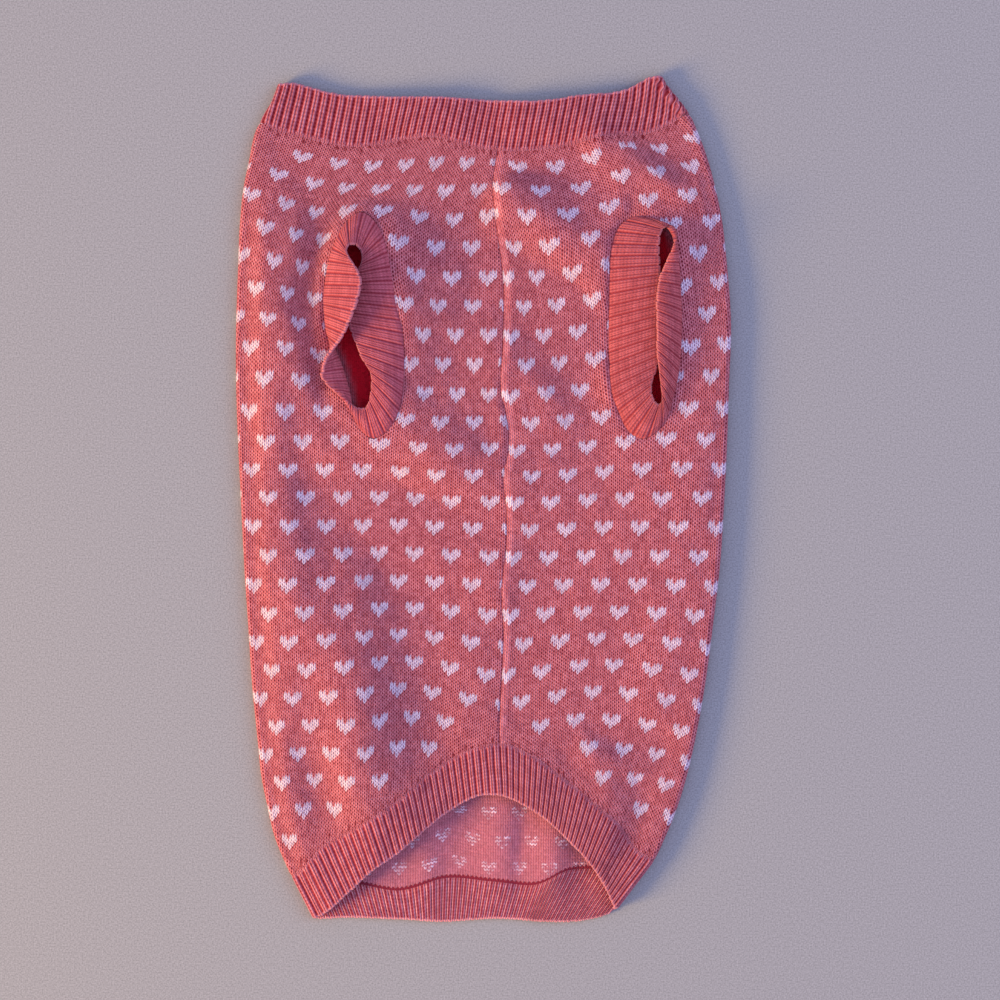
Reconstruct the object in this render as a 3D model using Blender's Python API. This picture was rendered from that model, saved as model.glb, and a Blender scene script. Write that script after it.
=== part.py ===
"""Knitted dog sweater, laid flat with the belly side up.

Frame: metres in Blender, +Z up. The garment's length runs along Y with the neck
at +Y, its width along X, and the cloth lies on z = 0. Sizes and tables below are
in millimetres and are turned into metres when a mesh is made.

The sweater is one tube. From the neck to the hem it is a rib collar, a jacquard
panel that wraps once round the dog and meets itself at the middle of the belly,
and a rib hem band that arches up on the belly and hangs low on the back. Two
rib leg cuffs are sewn into long armholes in the belly half of the panel.
"""

import bmesh
import bpy
import numpy as np

for old in list(bpy.data.objects):
    bpy.data.objects.remove(old, do_unlink=True)

MM = 0.001

# Cloth and seams
BODY_WALL = 1.6        # two-colour jacquard with floats behind it
RIB_WALL = 2.0         # one-by-one rib of the collar, hem and cuffs
SEAM_GAP = 0.3         # between two pieces that are linked together
SIDE_FOLD_RADIUS = 1.7  # middle of the wall where the tube folds at its sides
FOLD_INSET = 2.5       # from the outline to where a side fold starts
LAY_GAP = 0.5          # the belly lies on the back with this much air
EDGE_ROLL = 17.0       # width of the roll inside each side fold
SLANT_GAP = 0.2        # half of the gap at the neck and hem seams, along Y

# Facets
BELLY_COLUMNS = 13
FOLD_COLUMNS = 4
BACK_COLUMNS = 8
BODY_ROWS = 30
COLLAR_ROWS = 2
HEM_ROWS = 3
CUFF_RING = 36
CUFF_ROWS = 5
EASE_TURNS = 3         # evens the cuffs' walls where they turn sharply

# Colours: base colour, roughness
CORAL_JACQUARD = ((0.60, 0.13, 0.13, 1.0), 0.85)
CORAL_RIB = ((0.55, 0.12, 0.12, 1.0), 0.88)

# Outline of the laid tube, a row for each station: y, left x, right x
OUTLINE = (
    (211.5, -101.3, 88.8),
    (206.5, -102.8, 91.8),
    (199.0, -105.8, 97.8),
    (191.5, -109.8, 103.3),
    (184.0, -113.8, 106.8),
    (169.0, -117.3, 112.3),
    (154.0, -120.3, 116.3),
    (139.0, -121.8, 119.3),
    (116.5, -122.8, 121.8),
    (86.5, -123.8, 123.8),
    (56.5, -123.8, 122.8),
    (26.5, -122.8, 121.8),
    (-3.5, -121.3, 120.3),
    (-33.5, -119.8, 118.3),
    (-63.5, -117.8, 114.8),
    (-93.5, -115.8, 110.8),
    (-123.5, -112.8, 105.3),
    (-138.5, -111.3, 101.8),
    (-153.5, -108.3, 97.3),
    (-168.5, -104.8, 91.3),
    (-183.5, -98.8, 83.8),
    (-198.5, -91.3, 71.3),
    (-206.0, -87.3, 66.3),
    (-211.5, -84.8, 63.0),
)

# Middle-of-belly join of collar, panel and hem band: y, x
BELLY_SEAM = (
    (212.0, 12.2),
    (199.0, 11.8),
    (187.0, 9.6),
    (175.0, 7.3),
    (161.0, 5.0),
    (147.5, 5.3),
    (134.0, 6.8),
    (112.0, 9.6),
    (79.0, 9.8),
    (52.0, 8.8),
    (40.0, 11.6),
    (24.0, 12.4),
    (12.0, 10.0),
    (-6.0, 11.4),
    (-22.0, 11.6),
    (-45.0, 9.0),
    (-67.0, 10.0),
    (-90.0, 9.2),
    (-118.0, 7.8),
    (-130.0, 8.6),
    (-152.0, 9.8),
)

# Edges that cross the tube: x, y on the belly, y on the back
NECK_SEAM = (
    (-113.0, 189.0, 189.0),
    (-102.3, 183.5, 184.0),
    (-94.3, 181.5, 181.0),
    (-76.3, 177.0, 177.5),
    (-63.8, 175.5, 176.0),
    (-51.3, 177.0, 175.5),
    (-24.8, 180.5, 174.5),
    (-6.8, 176.0, 174.0),
    (11.8, 173.5, 174.0),
    (25.3, 174.0, 174.5),
    (47.3, 177.5, 176.0),
    (60.8, 181.0, 178.0),
    (83.3, 182.5, 182.5),
    (91.3, 186.0, 186.0),
    (104.5, 193.5, 193.5),
)
COLLAR_EDGE = (
    (-102.8, 207.0, 207.0),
    (-94.3, 207.5, 206.5),
    (-86.8, 205.5, 204.0),
    (-71.8, 202.0, 200.5),
    (-60.0, 201.2, 199.6),
    (-19.3, 201.0, 199.0),
    (3.3, 199.6, 198.0),
    (33.3, 199.5, 198.0),
    (48.3, 202.0, 200.5),
    (70.8, 205.0, 203.5),
    (84.0, 211.0, 210.5),
    (89.0, 211.5, 211.5),
)
BELLY_HEM_SEAM = (
    (-98.0, -189.5),
    (-92.8, -186.5),
    (-86.3, -180.0),
    (-77.8, -171.5),
    (-66.8, -165.5),
    (-45.3, -152.0),
    (-23.3, -134.5),
    (-3.8, -124.5),
    (9.0, -122.5),
    (23.3, -128.0),
    (41.8, -141.0),
    (58.8, -155.0),
    (67.8, -163.0),
    (76.0, -174.5),
    (86.0, -181.5),
)
BELLY_HEM_EDGE = (
    (-86.0, -211.0),
    (-79.8, -208.0),
    (-66.8, -196.5),
    (-56.8, -187.0),
    (-42.8, -177.0),
    (-18.8, -157.5),
    (-1.8, -148.6),
    (8.3, -148.4),
    (17.8, -152.0),
    (27.8, -158.0),
    (43.8, -172.5),
    (52.5, -182.0),
    (60.8, -195.0),
    (66.0, -206.5),
)
BACK_HEM_SEAM = (
    (-98.0, -189.5),
    (-61.0, -193.5),
    (-42.0, -196.5),
    (-20.0, -190.5),
    (5.0, -192.0),
    (28.0, -193.0),
    (40.0, -187.0),
    (60.0, -185.5),
    (86.0, -181.5),
)
BACK_HEM_EDGE = (
    (-86.0, -211.0),
    (-70.0, -209.8),
    (-42.0, -210.5),
    (-20.0, -211.3),
    (5.0, -210.0),
    (33.0, -211.3),
    (52.0, -210.8),
    (62.0, -208.3),
    (66.0, -206.5),
)

# Soft folds of the belly layer, each a line of stations: x, y, height of the
# crest above the flat-lying cloth, reach of its left side and of its right side
# as one walks from the first station to the last
FOLDS = {
    "neck_mouth": (
        (-88.0, 190.0, 1.2, 20.0, 18.0),
        (-52.0, 189.0, 4.8, 30.0, 22.0),
        (-16.0, 189.0, 5.8, 34.0, 24.0),
        (16.0, 188.0, 6.0, 34.0, 26.0),
        (50.0, 191.0, 5.4, 30.0, 24.0),
        (80.0, 195.0, 1.2, 20.0, 18.0),
    ),
    "left_side_crease": (
        (-101.0, 166.0, 1.5, 10.0, 18.0),
        (-104.0, 132.0, 4.2, 10.0, 18.0),
        (-105.0, 80.0, 5.0, 10.0, 18.0),
        (-104.5, 20.0, 4.6, 14.0, 18.0),
        (-103.0, -40.0, 4.2, 18.0, 18.0),
        (-99.0, -100.0, 3.8, 18.0, 18.0),
        (-94.0, -150.0, 3.0, 16.0, 16.0),
        (-88.0, -180.0, 1.4, 14.0, 14.0),
    ),
    "right_side_crease": (
        (100.0, 166.0, 1.5, 16.0, 10.0),
        (108.0, 126.0, 3.6, 16.0, 8.0),
        (110.0, 80.0, 4.2, 16.0, 8.0),
        (108.5, 20.0, 4.2, 16.0, 14.0),
        (105.0, -40.0, 3.8, 16.0, 18.0),
        (98.0, -100.0, 3.2, 16.0, 18.0),
        (88.0, -146.0, 2.6, 14.0, 16.0),
        (78.0, -174.0, 1.4, 12.0, 14.0),
    ),
    "left_arm_rim": (
        (-66.0, 142.0, 2.0, 12.0, 6.0),
        (-73.0, 128.0, 5.0, 12.0, 6.0),
        (-78.0, 110.0, 7.0, 12.0, 6.0),
        (-80.0, 94.0, 7.2, 12.0, 6.0),
        (-78.0, 78.0, 5.8, 12.0, 6.5),
        (-74.0, 62.0, 4.2, 12.0, 7.0),
        (-68.0, 46.0, 3.4, 12.0, 7.0),
        (-60.0, 34.0, 1.8, 12.0, 8.0),
    ),
    "left_arm_middle": (
        (-60.0, 143.0, 2.2, 14.0, 8.0),
        (-50.0, 132.0, 3.0, 14.0, 8.0),
        (-45.5, 112.0, 3.2, 14.0, 8.0),
        (-41.0, 84.0, 3.4, 14.0, 8.0),
        (-39.5, 62.0, 3.2, 14.0, 8.0),
        (-44.0, 42.0, 2.6, 14.0, 8.0),
        (-54.0, 30.0, 1.6, 12.0, 8.0),
    ),
    "right_arm_roll": (
        (68.0, 142.0, 2.4, 5.0, 11.0),
        (61.5, 128.0, 4.0, 4.2, 11.0),
        (60.2, 106.0, 4.8, 4.2, 11.0),
        (60.2, 80.0, 4.8, 4.2, 11.0),
        (60.6, 58.0, 4.4, 4.2, 11.0),
        (65.0, 42.0, 3.0, 5.0, 11.0),
        (72.0, 30.0, 1.6, 7.0, 10.0),
    ),
    "right_arm_rim": (
        (82.0, 141.0, 2.2, 9.0, 9.0),
        (94.0, 126.0, 3.0, 8.0, 9.0),
        (98.0, 106.0, 3.2, 7.0, 9.0),
        (99.0, 84.0, 3.2, 7.0, 9.0),
        (97.5, 62.0, 3.0, 7.0, 9.0),
        (91.0, 44.0, 2.6, 8.0, 9.0),
        (80.0, 30.0, 1.4, 9.0, 9.0),
    ),
    "left_shoulder": (
        (-70.0, 139.0, 2.0, 7.0, 12.0),
        (-60.0, 150.0, 3.4, 7.0, 12.0),
        (-48.0, 160.0, 3.4, 7.0, 12.0),
        (-34.0, 168.0, 2.2, 8.0, 12.0),
        (-20.0, 174.0, 0.8, 8.0, 12.0),
    ),
    "right_shoulder_valley": (
        (60.0, 180.0, -0.6, 6.0, 6.0),
        (74.0, 172.0, -2.6, 6.0, 6.0),
        (90.0, 163.0, -2.6, 6.0, 6.0),
        (104.0, 153.0, -1.0, 6.0, 6.0),
    ),
    "belly_diagonal": (
        (10.0, 148.0, 0.8, 16.0, 9.0),
        (22.0, 130.0, 2.4, 16.0, 9.0),
        (37.0, 104.0, 3.0, 16.0, 9.0),
        (51.0, 76.0, 3.0, 16.0, 9.0),
        (63.0, 50.0, 1.8, 14.0, 9.0),
    ),
    "belly_sweep": (
        (-60.0, 29.0, 1.2, 12.0, 8.0),
        (-40.0, 20.0, 2.2, 12.0, 8.0),
        (-20.0, 9.0, 2.0, 12.0, 8.0),
        (4.0, -5.0, 0.8, 12.0, 8.0),
    ),
    "flank_diagonal": (
        (-106.0, 24.0, 0.8, 8.0, 20.0),
        (-92.0, -6.0, 2.0, 8.0, 20.0),
        (-78.0, -32.0, 2.6, 8.0, 22.0),
        (-66.0, -62.0, 2.8, 9.0, 22.0),
        (-57.0, -92.0, 2.6, 9.0, 22.0),
        (-49.0, -120.0, 2.2, 9.0, 20.0),
        (-43.0, -144.0, 1.0, 9.0, 18.0),
    ),
    "hem_mouth": (
        (-74.0, -199.0, 0.6, 26.0, 14.0),
        (-52.0, -181.0, 3.4, 30.0, 16.0),
        (-26.0, -160.0, 5.2, 32.0, 18.0),
        (8.0, -144.0, 5.8, 30.0, 18.0),
        (34.0, -160.0, 5.6, 32.0, 18.0),
        (51.0, -180.0, 4.4, 30.0, 16.0),
        (61.0, -199.0, 0.9, 24.0, 14.0),
    ),
}

# Leg cuffs, a row for each station round the ring: seam x, seam y, free edge x,
# y and z, knee (how far along the wall bends, 0 at the seam), bulge of the bend
LEFT_CUFF = (
    (-67.4, 138.8, -66.0, 127.0, 12.0, 0.45, 1.4),
    (-60.6, 142.8, -61.8, 125.6, 11.2, 0.45, 1.4),
    (-53.0, 136.4, -59.2, 120.4, 11.2, 0.45, 1.6),
    (-48.4, 125.0, -61.0, 113.0, 11.2, 0.45, 1.6),
    (-45.4, 110.0, -63.8, 104.6, 11.4, 0.45, 1.6),
    (-43.4, 96.0, -65.8, 94.6, 11.4, 0.45, 1.6),
    (-40.4, 84.0, -66.2, 86.0, 11.6, 0.45, 1.6),
    (-39.4, 72.4, -63.6, 77.0, 11.8, 0.45, 1.8),
    (-39.6, 60.4, -60.2, 68.8, 12.0, 0.45, 2.0),
    (-40.6, 49.4, -56.6, 61.4, 12.0, 0.45, 2.0),
    (-43.6, 39.4, -55.8, 54.6, 11.6, 0.45, 1.8),
    (-48.8, 32.4, -56.8, 48.2, 11.2, 0.45, 1.6),
    (-55.6, 29.6, -60.0, 44.2, 10.8, 0.45, 1.4),
    (-62.6, 35.4, -64.8, 44.8, 10.6, 0.40, 1.2),
    (-67.4, 44.4, -69.8, 48.2, 10.6, 0.30, 1.2),
    (-70.6, 52.4, -74.4, 53.0, 11.0, -0.05, 1.9),
    (-72.8, 60.0, -78.4, 59.6, 11.4, 0.0, 2.0),
    (-75.0, 67.6, -79.2, 67.0, 12.0, 0.12, 1.8),
    (-77.0, 75.6, -76.8, 74.2, 13.4, 0.30, 1.2),
    (-78.4, 84.0, -72.4, 80.0, 14.8, 0.35, 1.4),
    (-79.6, 94.0, -67.2, 88.0, 16.0, 0.40, 1.6),
    (-79.8, 100.8, -63.6, 96.4, 16.8, 0.45, 2.0),
    (-79.2, 107.6, -61.8, 104.8, 17.0, 0.45, 2.0),
    (-78.0, 114.8, -63.4, 112.4, 16.2, 0.45, 1.8),
    (-76.2, 121.8, -67.6, 118.4, 14.4, 0.45, 1.4),
    (-72.6, 130.4, -69.6, 123.6, 12.8, 0.40, 1.2),
)
RIGHT_CUFF = (
    (77.4, 140.2, 91.4, 135.0, 12.2, 0.45, 1.4),
    (69.6, 137.6, 87.6, 133.2, 12.2, 0.45, 1.4),
    (65.0, 130.6, 86.2, 128.0, 12.4, 0.45, 1.4),
    (63.0, 121.4, 86.0, 121.0, 12.6, 0.45, 1.4),
    (62.6, 110.0, 85.8, 112.6, 12.6, 0.45, 1.4),
    (62.6, 97.6, 85.4, 102.6, 12.6, 0.45, 1.4),
    (62.6, 85.4, 85.4, 92.0, 12.6, 0.45, 1.4),
    (62.6, 73.4, 85.4, 81.6, 12.6, 0.45, 1.4),
    (62.8, 61.4, 85.6, 71.8, 12.6, 0.45, 1.4),
    (64.4, 51.0, 86.2, 62.6, 12.2, 0.45, 1.4),
    (68.0, 41.6, 85.6, 55.0, 11.4, 0.45, 1.4),
    (72.4, 33.4, 85.4, 49.0, 10.6, 0.45, 1.2),
    (79.6, 29.4, 87.2, 45.4, 10.4, 0.45, 1.2),
    (86.8, 33.4, 90.0, 45.0, 10.6, 0.45, 1.0),
    (92.2, 42.0, 92.4, 49.6, 11.6, 0.45, 1.0),
    (94.6, 50.0, 91.4, 60.6, 13.6, 0.45, 1.6),
    (96.6, 58.0, 89.8, 69.4, 14.4, 0.45, 1.8),
    (98.2, 69.6, 88.8, 79.0, 14.6, 0.45, 1.8),
    (98.8, 81.4, 88.4, 88.6, 14.6, 0.45, 1.8),
    (98.8, 93.4, 88.4, 98.0, 14.6, 0.45, 1.8),
    (98.2, 105.4, 89.0, 107.4, 14.6, 0.45, 1.8),
    (97.2, 116.6, 92.0, 116.8, 14.4, 0.40, 1.6),
    (95.6, 127.4, 95.6, 126.4, 13.6, 0.30, 1.4),
    (90.4, 136.2, 96.0, 132.4, 12.8, 0.30, 1.4),
)


def smooth(table, column):
    """A smooth curve through one column of a table, by its first column."""
    rows = sorted(table)
    at = np.array([row[0] for row in rows], float)
    value = np.array([row[column] for row in rows], float)
    step = np.diff(at)
    rise = np.diff(value) / step
    slope = np.empty_like(value)
    slope[1:-1] = (rise[:-1] * step[1:] + rise[1:] * step[:-1]) / (step[:-1] + step[1:])
    slope[0], slope[-1] = rise[0], rise[-1]

    def curve(q):
        q = np.clip(np.asarray(q, float), at[0], at[-1])
        i = np.clip(np.searchsorted(at, q, side="right") - 1, 0, len(at) - 2)
        t = (q - at[i]) / step[i]
        return (
            (2 * t**3 - 3 * t**2 + 1) * value[i]
            + (t**3 - 2 * t**2 + t) * step[i] * slope[i]
            + (3 * t**2 - 2 * t**3) * value[i + 1]
            + (t**3 - t**2) * step[i] * slope[i + 1]
        )

    return curve


def ring_columns(table, count):
    """The table's columns as closed smooth curves, each read at count stations."""
    rows = np.array(table, float)
    n = len(rows)
    q = np.arange(count) * n / count
    i = np.floor(q).astype(int)
    t = (q - i)[:, None]
    a, b, c, d = rows[(i - 1) % n], rows[i % n], rows[(i + 1) % n], rows[(i + 2) % n]
    return 0.5 * (2 * b + (c - a) * t + (2 * a - 5 * b + 4 * c - d) * t**2 + (3 * b - a - 3 * c + d) * t**3)


left_of = smooth(OUTLINE, 1)
right_of = smooth(OUTLINE, 2)
seam_of = smooth(BELLY_SEAM, 1)
neck_belly, neck_back = smooth(NECK_SEAM, 1), smooth(NECK_SEAM, 2)
collar_belly, collar_back = smooth(COLLAR_EDGE, 1), smooth(COLLAR_EDGE, 2)
hem_seam_belly, hem_edge_belly = smooth(BELLY_HEM_SEAM, 1), smooth(BELLY_HEM_EDGE, 1)
hem_seam_back, hem_edge_back = smooth(BACK_HEM_SEAM, 1), smooth(BACK_HEM_EDGE, 1)


def fold_height(x, y, rows):
    """Height of one fold at the points x, y."""
    line = np.array(rows, float)
    start, end = line[:-1], line[1:]
    best = np.full(x.shape, np.inf)
    height = np.zeros(x.shape)
    for a, b in zip(start, end):
        ux, uy = b[0] - a[0], b[1] - a[1]
        length = np.hypot(ux, uy)
        t = np.clip(((x - a[0]) * ux + (y - a[1]) * uy) / length**2, 0, 1)
        dx, dy = x - (a[0] + t * ux), y - (a[1] + t * uy)
        away = np.hypot(dx, dy)
        side = (ux * (y - a[1]) - uy * (x - a[0])) / length
        crest = a[2] + t * (b[2] - a[2])
        left = a[3] + t * (b[3] - a[3])
        right = a[4] + t * (b[4] - a[4])
        blend = 0.5 + 0.5 * np.tanh(side / 3.0)
        reach = right + (left - right) * blend
        closer = away < best
        best = np.where(closer, away, best)
        height = np.where(closer, crest * np.exp(-((away / reach) ** 2)), height)
    return height


def belly_height(x, y):
    """Middle of the belly panel's wall above the surface."""
    total = np.zeros(np.shape(x))
    for rows in FOLDS.values():
        total = total + fold_height(x, y, rows)
    total = 0.5 * (total + np.sqrt(total**2 + 0.16))
    lying = BODY_WALL * 1.5 + LAY_GAP + total
    edge = BODY_WALL / 2 + 2 * SIDE_FOLD_RADIUS
    inside = 1.0
    for away in (x - left_of(y), right_of(y) - x):
        t = np.clip((away - FOLD_INSET) / EDGE_ROLL, 0, 1)
        inside = inside * t * t * (3 - 2 * t)
    return edge + (lying - edge) * inside


def girth_stations(belly, fold, back):
    """Zone and fraction round the tube, from the belly seam by the right side,
    the back and the left side to the belly seam again."""
    stations = [(0, i / belly) for i in range(belly)]
    stations += [(1, i / fold) for i in range(fold)]
    stations += [(2, i / back) for i in range(back)]
    stations += [(3, i / fold) for i in range(fold)]
    stations += [(4, i / belly) for i in range(belly + 1)]
    return np.array([s[0] for s in stations]), np.array([s[1] for s in stations])


def across(zone, part, y):
    """X of the middle of the wall at a station round the tube and a height y."""
    left, right, seam = left_of(y) + FOLD_INSET, right_of(y) - FOLD_INSET, seam_of(y)
    swing = SIDE_FOLD_RADIUS * np.sin(np.pi * part)
    return np.select(
        [zone == 0, zone == 1, zone == 2, zone == 3],
        [
            seam + SEAM_GAP / 2 + part * (right - seam - SEAM_GAP / 2),
            right + swing,
            right + part * (left - right),
            left - swing,
        ],
        left + part * (seam - SEAM_GAP / 2 - left),
    )


def meeting(zone, part, belly, back):
    """Y where each column of the tube meets an edge that crosses it."""
    on_back = np.select([zone == 1, zone == 2, zone == 3], [part, 1.0, 1.0 - part], 0.0)
    side = np.select([zone == 1, zone == 3], [1.0, 1.0], 0.0)
    flat = np.where(side > 0, 0.0, part)
    place = np.select([zone == 1, zone == 3], [2, 2], zone)
    flat = np.where(zone == 3, 1.0, flat)
    y = np.zeros(zone.shape)
    for _ in range(60):
        x = across(place, flat, y)
        y = 0.5 * y + 0.5 * (belly(x) * (1 - on_back) + back(x) * on_back)
    return y


def wall(zone, part, x, y, thickness):
    """Outer and inner points of the tube's wall."""
    shape = np.broadcast(zone, x).shape
    zone, part = np.broadcast_to(zone, shape), np.broadcast_to(part, shape)
    turn = np.pi * part
    belly = (zone == 0) | (zone == 4)
    step = 0.25
    z = belly_height(x, y) + (thickness - BODY_WALL) / 2
    zx = (belly_height(x + step, y) - belly_height(x - step, y)) / (2 * step)
    zy = (belly_height(x, y + step) - belly_height(x, y - step)) / (2 * step)
    size = np.sqrt(1 + zx**2 + zy**2)
    centre = thickness / 2 + SIDE_FOLD_RADIUS
    zero, one = np.zeros(shape), np.ones(shape)
    height = np.select(
        [belly, zone == 1, zone == 3],
        [z, centre + SIDE_FOLD_RADIUS * np.cos(turn), centre - SIDE_FOLD_RADIUS * np.cos(turn)],
        thickness / 2,
    )
    nx = np.select([belly, zone == 1, zone == 3], [-zx / size, np.sin(turn), -np.sin(turn)], zero)
    ny = np.select([belly], [-zy / size], zero)
    nz = np.select([belly, zone == 1, zone == 3], [1 / size, np.cos(turn), -np.cos(turn)], -one)
    middle = np.stack([x, y, height], -1)
    normal = np.stack([nx, ny, nz], -1)
    return middle + normal * thickness / 2, middle - normal * thickness / 2


def straight_columns(zone, part, top, bottom, rows):
    """Columns of the tube that run straight from one edge to another."""
    w = np.linspace(0, 1, rows + 1)[None, :]
    y = top[:, None] + (bottom - top)[:, None] * w
    return across(zone[:, None], part[:, None], y), y


def along(points):
    """Distance along a line of points, as a fraction of its length."""
    step = np.hypot(*np.diff(points, axis=0).T)
    run = np.concatenate([[0.0], np.cumsum(step)])
    return run / run[-1]


def hem_columns(zone, part, rows):
    """Columns of the hem band: square to the arch on the belly, straight down
    on the back."""
    top = meeting(zone, part, hem_seam_belly, hem_seam_back)
    bottom = meeting(zone, part, hem_edge_belly, hem_edge_back)
    x_top, x_bottom = across(zone, part, top), across(zone, part, bottom)
    fine = np.linspace(0, 1, 241)
    for side in (0, 4):
        which = np.full(fine.shape, side)
        seam_y = meeting(which, fine, hem_seam_belly, hem_seam_back)
        edge_y = meeting(which, fine, hem_edge_belly, hem_edge_back)
        seam_x, edge_x = across(which, fine, seam_y), across(which, fine, edge_y)
        seam_run = along(np.stack([seam_x, seam_y], 1))
        edge_run = along(np.stack([edge_x, edge_y], 1))
        mine = zone == side
        share = np.interp(part[mine], fine, seam_run)
        x_bottom[mine] = np.interp(share, edge_run, edge_x)
        bottom[mine] = np.interp(share, edge_run, edge_y)
    w = np.linspace(0, 1, rows + 1)[None, :]
    top = top - SLANT_GAP
    return (
        x_top[:, None] + (x_bottom - x_top)[:, None] * w,
        top[:, None] + (bottom - top)[:, None] * w,
    )


def material(name, finish):
    colour, roughness = finish
    made = bpy.data.materials.new(name)
    made.use_nodes = True
    shader = made.node_tree.nodes["Principled BSDF"]
    shader.inputs["Base Color"].default_value = colour
    shader.inputs["Roughness"].default_value = roughness
    shader.inputs["Metallic"].default_value = 0.0
    made.diffuse_color = colour
    return made


def solid(name, outer, inner, closed, finish):
    """A wall between two grids of points, closed round its rims."""
    columns, rows = outer.shape[:2]
    mesh = bmesh.new()
    grids = [
        [[mesh.verts.new(tuple(float(v) * MM for v in grid[i, j])) for j in range(rows)] for i in range(columns)]
        for grid in (outer, inner)
    ]
    top, under = grids
    last = columns if closed else columns - 1
    for i in range(last):
        k = (i + 1) % columns
        for j in range(rows - 1):
            mesh.faces.new((top[i][j], top[i][j + 1], top[k][j + 1], top[k][j]))
            mesh.faces.new((under[i][j], under[k][j], under[k][j + 1], under[i][j + 1]))
        mesh.faces.new((top[i][0], top[k][0], under[k][0], under[i][0]))
        mesh.faces.new((top[i][-1], under[i][-1], under[k][-1], top[k][-1]))
    if not closed:
        for j in range(rows - 1):
            mesh.faces.new((top[0][j], under[0][j], under[0][j + 1], top[0][j + 1]))
            mesh.faces.new((top[-1][j], top[-1][j + 1], under[-1][j + 1], under[-1][j]))
    bmesh.ops.recalc_face_normals(mesh, faces=mesh.faces)
    bmesh.ops.triangulate(mesh, faces=mesh.faces)
    data = bpy.data.meshes.new(name)
    mesh.to_mesh(data)
    mesh.free()
    data.materials.append(finish)
    made = bpy.data.objects.new(name, data)
    bpy.context.collection.objects.link(made)
    data.shade_smooth()
    data.set_sharp_from_angle(angle=0.9)
    return made


def inward(plan, distance):
    """A closed plan line, moved towards its own inside."""
    ahead = np.roll(plan, -1, axis=0) - np.roll(plan, 1, axis=0)
    normal = np.stack([-ahead[:, 1], ahead[:, 0]], 1)
    normal /= np.hypot(*normal.T)[:, None]
    turn = np.sum(plan[:, 0] * np.roll(plan[:, 1], -1) - np.roll(plan[:, 0], -1) * plan[:, 1])
    return plan + normal * distance * np.sign(turn)


def cuff(name, table, finish):
    """A short rib tube from its seam in the armhole to its free edge."""
    ring = ring_columns(table, CUFF_RING)
    seam = inward(ring[:, 0:2], SEAM_GAP / 2)
    base = belly_height(seam[:, 0], seam[:, 1])
    start = np.column_stack([seam, base])
    end = ring[:, 2:5]
    knee = start + (end - start) * ring[:, 5:6]
    knee[:, 2] += 2 * ring[:, 6]
    w = np.linspace(0, 1, CUFF_ROWS + 1)[None, :, None]
    middle = (1 - w) ** 2 * start[:, None] + 2 * w * (1 - w) * knee[:, None] + w**2 * end[:, None]
    round_way = np.roll(middle, -1, axis=0) - np.roll(middle, 1, axis=0)
    up_way = 2 * (1 - w) * (knee - start)[:, None] + 2 * w * (end - knee)[:, None]
    normal = np.cross(round_way, up_way)
    normal /= np.linalg.norm(normal, axis=2)[..., None]
    for _ in range(EASE_TURNS):
        normal = normal + np.roll(normal, 1, axis=0) + np.roll(normal, -1, axis=0)
        normal /= np.linalg.norm(normal, axis=2)[..., None]
    centre = middle[:, 2:3].mean(axis=(0, 1))
    facing = np.sum((middle[:, 2] - centre)[:, :2] * normal[:, 2, :2])
    normal *= np.sign(facing)
    outer = middle + normal * RIB_WALL / 2
    inner = middle - normal * RIB_WALL / 2
    outer[:, 0] = start + np.array([0, 0, BODY_WALL / 2])
    inner[:, 0] = start - np.array([0, 0, BODY_WALL / 2])
    return solid(name, outer, inner, True, finish)


def armhole_cutter(name, table):
    """A prism through the belly layer only, a little wider than the cuff."""
    ring = inward(ring_columns(table, CUFF_RING)[:, 0:2], -SEAM_GAP / 2)
    low, high = (BODY_WALL + 0.25) * MM, 30 * MM
    mesh = bmesh.new()
    lower = [mesh.verts.new((x * MM, y * MM, low)) for x, y in ring.tolist()]
    upper = [mesh.verts.new((x * MM, y * MM, high)) for x, y in ring.tolist()]
    for i in range(len(ring)):
        k = (i + 1) % len(ring)
        mesh.faces.new((lower[i], lower[k], upper[k], upper[i]))
    mesh.faces.new(lower[::-1])
    mesh.faces.new(upper)
    bmesh.ops.recalc_face_normals(mesh, faces=mesh.faces)
    data = bpy.data.meshes.new(name)
    mesh.to_mesh(data)
    mesh.free()
    made = bpy.data.objects.new(name, data)
    bpy.context.collection.objects.link(made)
    made.hide_render = True
    made.display_type = "WIRE"
    return made


zone, part = girth_stations(BELLY_COLUMNS, FOLD_COLUMNS, BACK_COLUMNS)
neck = meeting(zone, part, neck_belly, neck_back)
hem = meeting(zone, part, hem_seam_belly, hem_seam_back)
collar_edge = meeting(zone, part, collar_belly, collar_back)

jacquard = material("coral_jacquard", CORAL_JACQUARD)
rib = material("coral_rib", CORAL_RIB)

x, y = straight_columns(zone, part, neck - SLANT_GAP, hem + SLANT_GAP, BODY_ROWS)
body = solid("body_panel", *wall(zone[:, None], part[:, None], x, y, BODY_WALL), False, jacquard)
for side, table in (("left", LEFT_CUFF), ("right", RIGHT_CUFF)):
    cutter = armhole_cutter("armhole_" + side + "_cutter", table)
    cut = body.modifiers.new("armhole_" + side, "BOOLEAN")
    cut.operation = "DIFFERENCE"
    cut.solver = "EXACT"
    cut.object = cutter

x, y = straight_columns(zone, part, collar_edge, neck + SLANT_GAP, COLLAR_ROWS)
solid("neck_collar", *wall(zone[:, None], part[:, None], x, y, RIB_WALL), False, rib)

x, y = hem_columns(zone, part, HEM_ROWS)
solid("hem_band", *wall(zone[:, None], part[:, None], x, y, RIB_WALL), False, rib)

cuff("leg_cuff_left", LEFT_CUFF, rib)
cuff("leg_cuff_right", RIGHT_CUFF, rib)
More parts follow.
